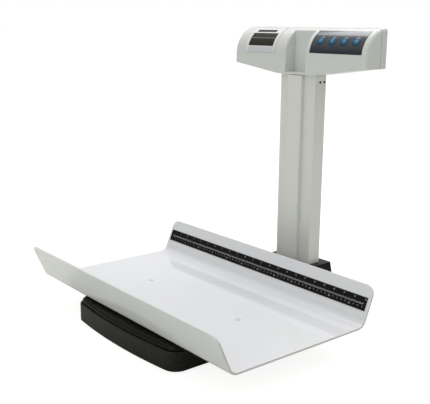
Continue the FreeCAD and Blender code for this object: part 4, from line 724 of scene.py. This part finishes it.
def rounded_frame(left, right, low, high, radius):
    """The corner points of a rectangle with round corners."""
    spots = []
    for u, v, start in ((right, low, -90), (right, high, 0), (left, high, 90), (left, low, 180)):
        centre = (u - radius if u == right else u + radius, v + radius if v == low else v - radius)
        for n in range(7):
            angle = math.radians(start + 15 * n)
            spots.append((centre[0] + radius * math.cos(angle), centre[1] + radius * math.sin(angle)))
    return spots


overlay_pale = moulding("overlay pale", ((0.735, 0.745, 0.73), (0.715, 0.725, 0.71)), (0.25, 0.35), 1200,
                        0.000003)
outline_grey = moulding("outline grey", ((0.30, 0.31, 0.33), (0.36, 0.37, 0.39)), (0.4, 0.5), 1200, 0.000003)
smoked = moulding("smoked window", ((0.012, 0.011, 0.008), (0.019, 0.017, 0.012)), (0.08, 0.16), 300,
                  0.000002, specular=0.28)
border_black = moulding("border black", ((0.006, 0.006, 0.006), (0.009, 0.009, 0.009)), (0.35, 0.45), 1200,
                        0.000003, specular=0.3)
divider_grey = moulding("divider grey", ((0.16, 0.15, 0.125), (0.2, 0.19, 0.16)), (0.3, 0.4), 1200, 0.000003)
segment_dark = moulding("segment dark", ((0.022, 0.021, 0.017), (0.03, 0.028, 0.023)), (0.3, 0.4), 1200,
                        0.000003)
crystal_green = moulding("crystal green", ((0.20, 0.24, 0.18), (0.24, 0.28, 0.21)), (0.2, 0.3), 800,
                         0.000003)
finish_nodes(overlay_pale, "display_bezel")
finish_nodes(smoked, "display_window", "indicator_window")
finish_nodes(crystal_green, "display_module")
bezel_low, bezel_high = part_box("display_bezel")
window_low, window_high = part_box("display_window")
strip_low, strip_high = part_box("indicator_window")
field_blue = (0.615, 0.633, 0.685)
field_low = on_front(0, up_front(5.6), 0).z
field_top = window_low.z - 0.0013
field_middle = (window_low.x + window_high.x) / 2 + 0.0015
field_reach = window_high.x - field_middle + 0.0035
field_fade = 0.0011
overlay_tree = overlay_pale.node_tree
overlay_level = object_axis(overlay_pale, "Z")
off_middle = math_node(overlay_tree, "SUBTRACT", object_axis(overlay_pale, "X"), field_middle)
off_middle = math_node(overlay_tree, "ABSOLUTE", off_middle)
in_width = ranged(overlay_tree, off_middle, 1.0, 0.0, field_reach - field_fade, field_reach)
over_foot = ranged(overlay_tree, overlay_level, 0.0, 1.0, field_low, field_low + field_fade)
under_top = ranged(overlay_tree, overlay_level, 1.0, 0.0, field_top - field_fade, field_top)
blended(overlay_pale, times(overlay_tree, in_width, times(overlay_tree, over_foot, under_top)), field_blue)
print_foot = -0.00002
glass_foot = -0.00042
border_width = 0.0007
border_corner = 0.0008
border_shift = border_width / 2 + 0.00005
borders = []
for low, high, foot, top in ((window_low, window_high, 18.9, 48.3), (strip_low, strip_high, 53.0, 59.5)):
    borders.append((rounded_frame(low.x - border_shift, high.x + border_shift, up_front(foot) - border_shift,
                                  up_front(top) + border_shift, border_corner), True))
ribbons("window_borders", borders, border_width, print_foot, 0.00004, on_front, border_black, "stand")
outline_inset, outline_foot, outline_top = 0.0012, up_front(5.2), up_front(68.5)
outline_corner = 0.003
outline = rounded_frame(bezel_low.x + outline_inset, bezel_high.x - outline_inset, outline_foot, outline_top,
                        outline_corner)
ribbons("bezel_outline", [(outline, True)], 0.0007, print_foot, 0.00006, on_front, outline_grey, "stand")
divider_inset, divider_row = 0.0015, up_front(36.2)
divider = [(window_low.x + divider_inset, divider_row), (window_high.x - divider_inset, divider_row)]
ribbons("window_divider", [(divider, False)], 0.0020, glass_foot, -0.00030, on_front, divider_grey, "stand")


def seven_segments(left, middle, width, height):
    """The seven bars of a digit, each as an open path, leaning to the right."""
    slope = 0.1
    gap = width * 0.1
    rows = [middle - height / 2, middle, middle + height / 2]

    def lean(u, v):
        return (left + u + (v - rows[0]) * slope, v)

    bars = [([lean(gap, v), lean(width - gap, v)], False) for v in rows]
    for u in (0, width):
        for low, high in zip(rows, rows[1:]):
            bars.append(([lean(u, low + gap), lean(u, high - gap)], False))
    return bars


digit_left = -0.138
digits = []
for count, pitch, row, width, height in ((5, 0.0135, 27.2, 0.008, 0.0125), (9, 0.0073, 42.4, 0.004, 0.006)):
    for n in range(count):
        digits += seven_segments(digit_left + n * pitch, up_front(row), width, height)
ribbons("display_digits", digits, 0.0011, glass_foot, -0.00036, on_front, segment_dark, "stand")


# ============================================================ keypad
# A dark glossy film covers the keypad. Four round blue keys slide through it
# on their stems, each with a pale symbol on its crown and painted shade that darkens its blue towards the
# rim.
film_navy = moulding("film navy", ((0.003, 0.008, 0.017), (0.005, 0.011, 0.022)), (0.17, 0.24), 400, 0.000003,
                     coat=0.35, specular=0.85)
key_blue = moulding("key blue", ((0.006, 0.11, 0.215), (0.009, 0.13, 0.25)), (0.10, 0.18), 500, 0.000003)
rim_shade_blue = (0.003, 0.028, 0.062)
symbol_pale = moulding("symbol pale", ((0.30, 0.50, 0.62), (0.26, 0.45, 0.57)), (0.3, 0.4), 900, 0.000003)
finish_nodes(film_navy, "keypad_panel")
key_tree = key_blue.node_tree
key_reach = add(key_tree, "ShaderNodeAttribute", attribute_name="reach").outputs["Fac"]
# Painted shade: the blue darkens towards each key's rim, standing in for the dome turning from the light.
blended(key_blue, ranged(key_tree, key_reach, 0.0, 1.0, 0.5, 1.0), rim_shade_blue)
key_turn = math.radians(33.3)
key_radius = 0.00975
key_out = Vector((0, -math.cos(key_turn), math.sin(key_turn)))
key_up = Vector((0, math.sin(key_turn), math.cos(key_turn)))
crown_radius = overlay_radius + 0.0016
crown_edge = 0.0004
crown_dome = 0.0012
flange_top = overlay_radius - 0.0034
flange_seat = flange_top - 0.001
flange_radius = key_radius + 0.0015
stem_radius = 0.002
board_depth, switch_height, stem_clear = 0.013, 0.004, 0.0008
stem_end = overlay_radius - board_depth + switch_height + stem_clear


def key_drop(out):
    """How far the crown has fallen at this distance from the key's middle."""
    fall = crown_dome * (out / key_radius) ** 2
    past = out - (key_radius - crown_edge)
    if past > 0:
        fall += crown_edge - math.sqrt(max(0, crown_edge ** 2 - past ** 2))
    return fall


def key_cap(name, node, body, x):
    """A domed cap that follows the panel's curve, with its flange and stem, as one closed mesh."""
    shape = bmesh.new()
    axis_foot = Vector((x, curve_y, curve_z))
    sides = 64

    def ring(radius, level):
        circle = []
        for n in range(sides):
            u = radius * math.cos(2 * math.pi * n / sides)
            v = radius * math.sin(2 * math.pi * n / sides)
            out = level if level else math.sqrt(crown_radius ** 2 - v ** 2) - key_drop(radius)
            circle.append(shape.verts.new(axis_foot + Vector((u, 0, 0)) + key_up * v + key_out * out))
        return circle

    flat = [key_radius * n / 6 for n in range(1, 6)]
    edge = [key_radius - crown_edge * (1 - math.sin(math.radians(15 * n))) for n in range(7)]
    radii = sorted(set(round(radius, 7) for radius in flat + edge))
    rings = [ring(radius, None) for radius in radii]
    rings += [ring(key_radius, flange_top), ring(flange_radius, flange_top), ring(flange_radius, flange_seat),
              ring(stem_radius, flange_seat), ring(stem_radius, stem_end)]
    middle = shape.verts.new(axis_foot + key_out * crown_radius)
    for n in range(sides):
        shape.faces.new((middle, rings[0][n], rings[0][(n + 1) % sides]))
    for inner, outer in zip(rings, rings[1:]):
        for n in range(sides):
            shape.faces.new((inner[n], outer[n], outer[(n + 1) % sides], inner[(n + 1) % sides]))
    shape.faces.new(rings[-1])
    cap = linked(name, shape, key_blue, body)
    reach = cap.data.attributes.new("reach", "FLOAT", "POINT")
    for point, share in zip(cap.data.vertices, reach.data):
        across = point.co - axis_foot
        share.value = math.hypot(across.x, across.dot(key_up)) / key_radius
    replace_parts(cap, node)


def round_path(radius_u, radius_v, start, end, parts=20):
    """Part of an oval round the middle, between two angles in degrees."""
    turns = [math.radians(start + (end - start) * n / parts) for n in range(parts + 1)]
    return [(radius_u * math.cos(a), radius_v * math.sin(a)) for a in turns]


def half_arrow(way):
    """An arrow with one barb, as two paths. It points right for 1 and left for -1."""
    tip = (way * 0.0032, way * 0.0012)
    return [([(-tip[0], tip[1]), tip], False), ([(way * 0.0017, way * 0.0026), tip], False)]


symbols = {
    "power": [(round_path(0.0028, 0.0028, 125, 415), False), ([(0, 0.0008), (0, 0.0038)], False)],
    "zero": [(round_path(0.0021, 0.0032, 0, 342, 19), True)],
    "hold": [([(x, -0.0028), (x, 0.0028)], False) for x in (-0.0013, 0.0013)],
    "unit": half_arrow(1) + half_arrow(-1),
}
for key, paths in symbols.items():
    low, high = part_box(f"{key}_button")
    middle_x = (low.x + high.x) / 2
    key_cap(f"{key}_key_cap", f"{key}_button", f"{key}_key", middle_x)

    def on_crown(u, v, lift, middle_x=middle_x):
        reach = math.sqrt(crown_radius ** 2 - v ** 2) - key_drop(math.hypot(u, v)) + lift
        return Vector((middle_x + u, curve_y, curve_z)) + key_up * v + key_out * reach

    ribbons(f"{key}_key_symbol", paths, 0.0008, -0.00006, 0.00005, on_crown, symbol_pale, f"{key}_key")


# ============================================================ circuit boards
# Green glass-fibre boards with a solder resist: the amplifier in the base and
# the main and keypad boards in the head. Small black packages sit on them.
solder_green = moulding("solder green", ((0.012, 0.10, 0.035), (0.018, 0.13, 0.045)), (0.25, 0.35), 1800,
                        0.000006)
package_black = moulding("package black", ((0.012, 0.012, 0.012), (0.02, 0.02, 0.02)), (0.4, 0.5), 1500,
                         0.000004)
finish_nodes(solder_green, "amplifier_board", "main_board", "keypad_board")


def package_tree():
    """A black package with a row of tinned legs on each point, on a board in the XY plane."""
    tree, given, result = new_tree(
        "packages", Float=("Length", "Width", "Height"), Vector=["Turn"], Material=("Black", "Tin"))
    leg_count = 8
    length, width, height = given["Length"], given["Width"], given["Height"]
    body = block(tree, times(tree, height, 0.575), X=length, Y=width, Z=times(tree, height, 0.85))
    leg = block(tree, times(tree, height, 0.075), X=times(tree, length, 0.04), Y=times(tree, width, 1.3),
                Z=times(tree, height, 0.15))
    row = add(tree, "GeometryNodeMeshLine", {
        "Count": leg_count, "Start Location": vector_of(tree, X=times(tree, length, -0.42)),
        "Offset": vector_of(tree, X=times(tree, length, 0.12))})
    legs = on_each_point(tree, row.outputs["Mesh"], leg)
    whole = together(tree, painted(tree, body, given["Black"]), painted(tree, legs, given["Tin"]))
    feed(tree, result, {0: on_each_point(tree, given["Geometry"], whole, Rotation=given["Turn"])})
    return tree


board_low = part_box("main_board")[0]
board_run = 0.11
package_spots = [(board_low.x + share * board_run, board_low.y, board_low.z + rise)
                 for share, rise in ((0.3, 0.011), (0.55, 0.022), (0.8, 0.011))]
grown("main_board_packages", package_spots, package_tree(), {
    "Length": 0.014, "Width": 0.008, "Height": 0.0022, "Turn": (math.pi / 2, 0, 0),
    "Black": package_black, "Tin": zinc}, "stand")


# ============================================================ battery bay
# Four round cells lie in a black box behind the head. A grey door slides out
# of the rear cover, with ribs for the thumb.
bay_black = moulding("bay black", ((0.012, 0.012, 0.012), (0.02, 0.02, 0.02)), (0.4, 0.5), 1500, 0.00001)
jacket_grey = moulding("jacket grey", ((0.16, 0.17, 0.19), (0.19, 0.2, 0.22)), (0.22, 0.3), 900, 0.000003)
finish_nodes(bay_black, "battery_box")


def cell_tree():
    """A round cell on each point: a jacket, two metal ends and a nub at its +Z end."""
    tree, given, result = new_tree(
        "round cells", Float=("Radius", "Length", "Nub Radius", "Nub Length"), Vector=["Turn"],
        Material=("Jacket", "Metal"))
    sides = 48
    jacket_share, end_share = 0.985, 0.9

    def drum(radius, depth, middle, material):
        node = add(tree, "GeometryNodeMeshCylinder", {"Vertices": sides, "Radius": radius, "Depth": depth})
        return painted(tree, moved(tree, node.outputs["Mesh"], Z=middle), given[material])

    radius, length, nub = given["Radius"], given["Length"], given["Nub Length"]
    body_length = math_node(tree, "SUBTRACT", length, nub)
    body_middle = times(tree, nub, -0.5)
    nub_middle = math_node(tree, "SUBTRACT", times(tree, length, 0.5), times(tree, nub, 0.5))
    whole = together(
        tree, drum(radius, times(tree, body_length, jacket_share), body_middle, "Jacket"),
        drum(times(tree, radius, end_share), body_length, body_middle, "Metal"),
        drum(given["Nub Radius"], nub, nub_middle, "Metal"))
    feed(tree, result, {0: on_each_point(tree, given["Geometry"], whole, Rotation=given["Turn"])})
    return tree


round_cells = cell_tree()
cell_low, cell_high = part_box("batteries")
cell_radius = 0.0071
cell_length = 0.05
for level, name, way in ((cell_low.z + cell_radius, "lower", 1), (cell_high.z - cell_radius, "upper", -1)):
    spots = [(x, cell_high.y - cell_radius, level)
             for x in (cell_low.x + cell_length / 2, cell_high.x - cell_length / 2)]
    grown(f"cells_{name}", spots, round_cells, {
        "Radius": cell_radius, "Length": cell_length, "Nub Radius": 0.0027, "Nub Length": 0.0012,
        "Turn": (0, way * math.pi / 2, 0), "Jacket": jacket_grey, "Metal": zinc},
        "stand", ["batteries"])


def lofted(shape, loops):
    """Faces between the loops and across both ends."""
    skin(shape, loops)
    shape.faces.new(loops[0])
    shape.faces.new(loops[-1])


door_low, door_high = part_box("battery_door")
door_corner = 0.0015
soft_edge, softest = 0.0004, 0.3
door_outline = rounded_frame(door_low.x, door_high.x, door_low.z, door_high.z, door_corner)
door_middle = Vector(((door_low.x + door_high.x) / 2, 0, (door_low.z + door_high.z) / 2))
half_x, half_z = (door_high.x - door_low.x) / 2, (door_high.z - door_low.z) / 2
door = bmesh.new()
loops = []
for y, inset in ((door_low.y, 0), (door_high.y - soft_edge, 0),
                 (door_high.y - soft_edge * softest, soft_edge * softest), (door_high.y, soft_edge)):
    loops.append([door.verts.new((door_middle.x + (x - door_middle.x) * (1 - inset / half_x), y,
                                  door_middle.z + (z - door_middle.z) * (1 - inset / half_z)))
                  for x, z in door_outline])
lofted(door, loops)
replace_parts(linked("battery_door_plate", door, head_grain, "battery_lid"), "battery_door")
rib_length, rib_width = 0.024, 0.0012
rib_inset, rib_lift = 0.016, 0.0001
rib_middle = Matrix.Translation((door_low.x + rib_inset, door_high.y + rib_lift, door_middle.z))
grown("battery_door_ribs", [(0, 0, 0)], bar_rows, {
    "Count": 7, "Start": -0.009, "Pitch": 0.003, "Base": 0.0, "Side": 0.0, "Long Every": 1,
    "Middle Every": 1, "Long": rib_length, "Middle": rib_length, "Short": rib_length, "Width": rib_width,
    "Thickness": rib_width, "Ink": head_grain},
    "battery_lid", place=rib_middle @ Matrix.Rotation(math.pi / 2, 4, "X"))


# ============================================================ adapter jack
# A black barrel jack on the main board looks out through the rear cover. A
# plated pin stands in its bore.
finish_nodes(bay_black, "power_jack")
jack_low, jack_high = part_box("power_jack")
jack_middle = ((jack_low.x + jack_high.x) / 2, (jack_low.z + jack_high.z) / 2)
bore_depth, pin_length, pin_radius = 0.009, 0.0082, 0.00105
bore_bottom = jack_high.y - bore_depth
pin_top = bore_bottom + pin_length
pin_sides = 32
pin = bmesh.new()
loops = []
for radius, y in ((pin_radius, bore_bottom + 0.00002), (pin_radius, pin_top - 0.0008),
                  (pin_radius * 0.9, pin_top - 0.0003), (pin_radius * 0.5, pin_top)):
    turns = [2 * math.pi * n / pin_sides for n in range(pin_sides)]
    loops.append([pin.verts.new((jack_middle[0] + radius * math.cos(turn), y,
                                 jack_middle[1] + radius * math.sin(turn))) for turn in turns])
lofted(pin, loops)
linked("jack_pin", pin, zinc, "stand")


# ============================================================ signal lead
# A soft grey jacketed lead runs from the amplifier up inside the column to the
# main board.
lead_jacket = moulding("lead jacket", ((0.20, 0.20, 0.205), (0.24, 0.24, 0.245)), (0.45, 0.55), 900, 0.00001)
finish_nodes(lead_jacket, "signal_lead")
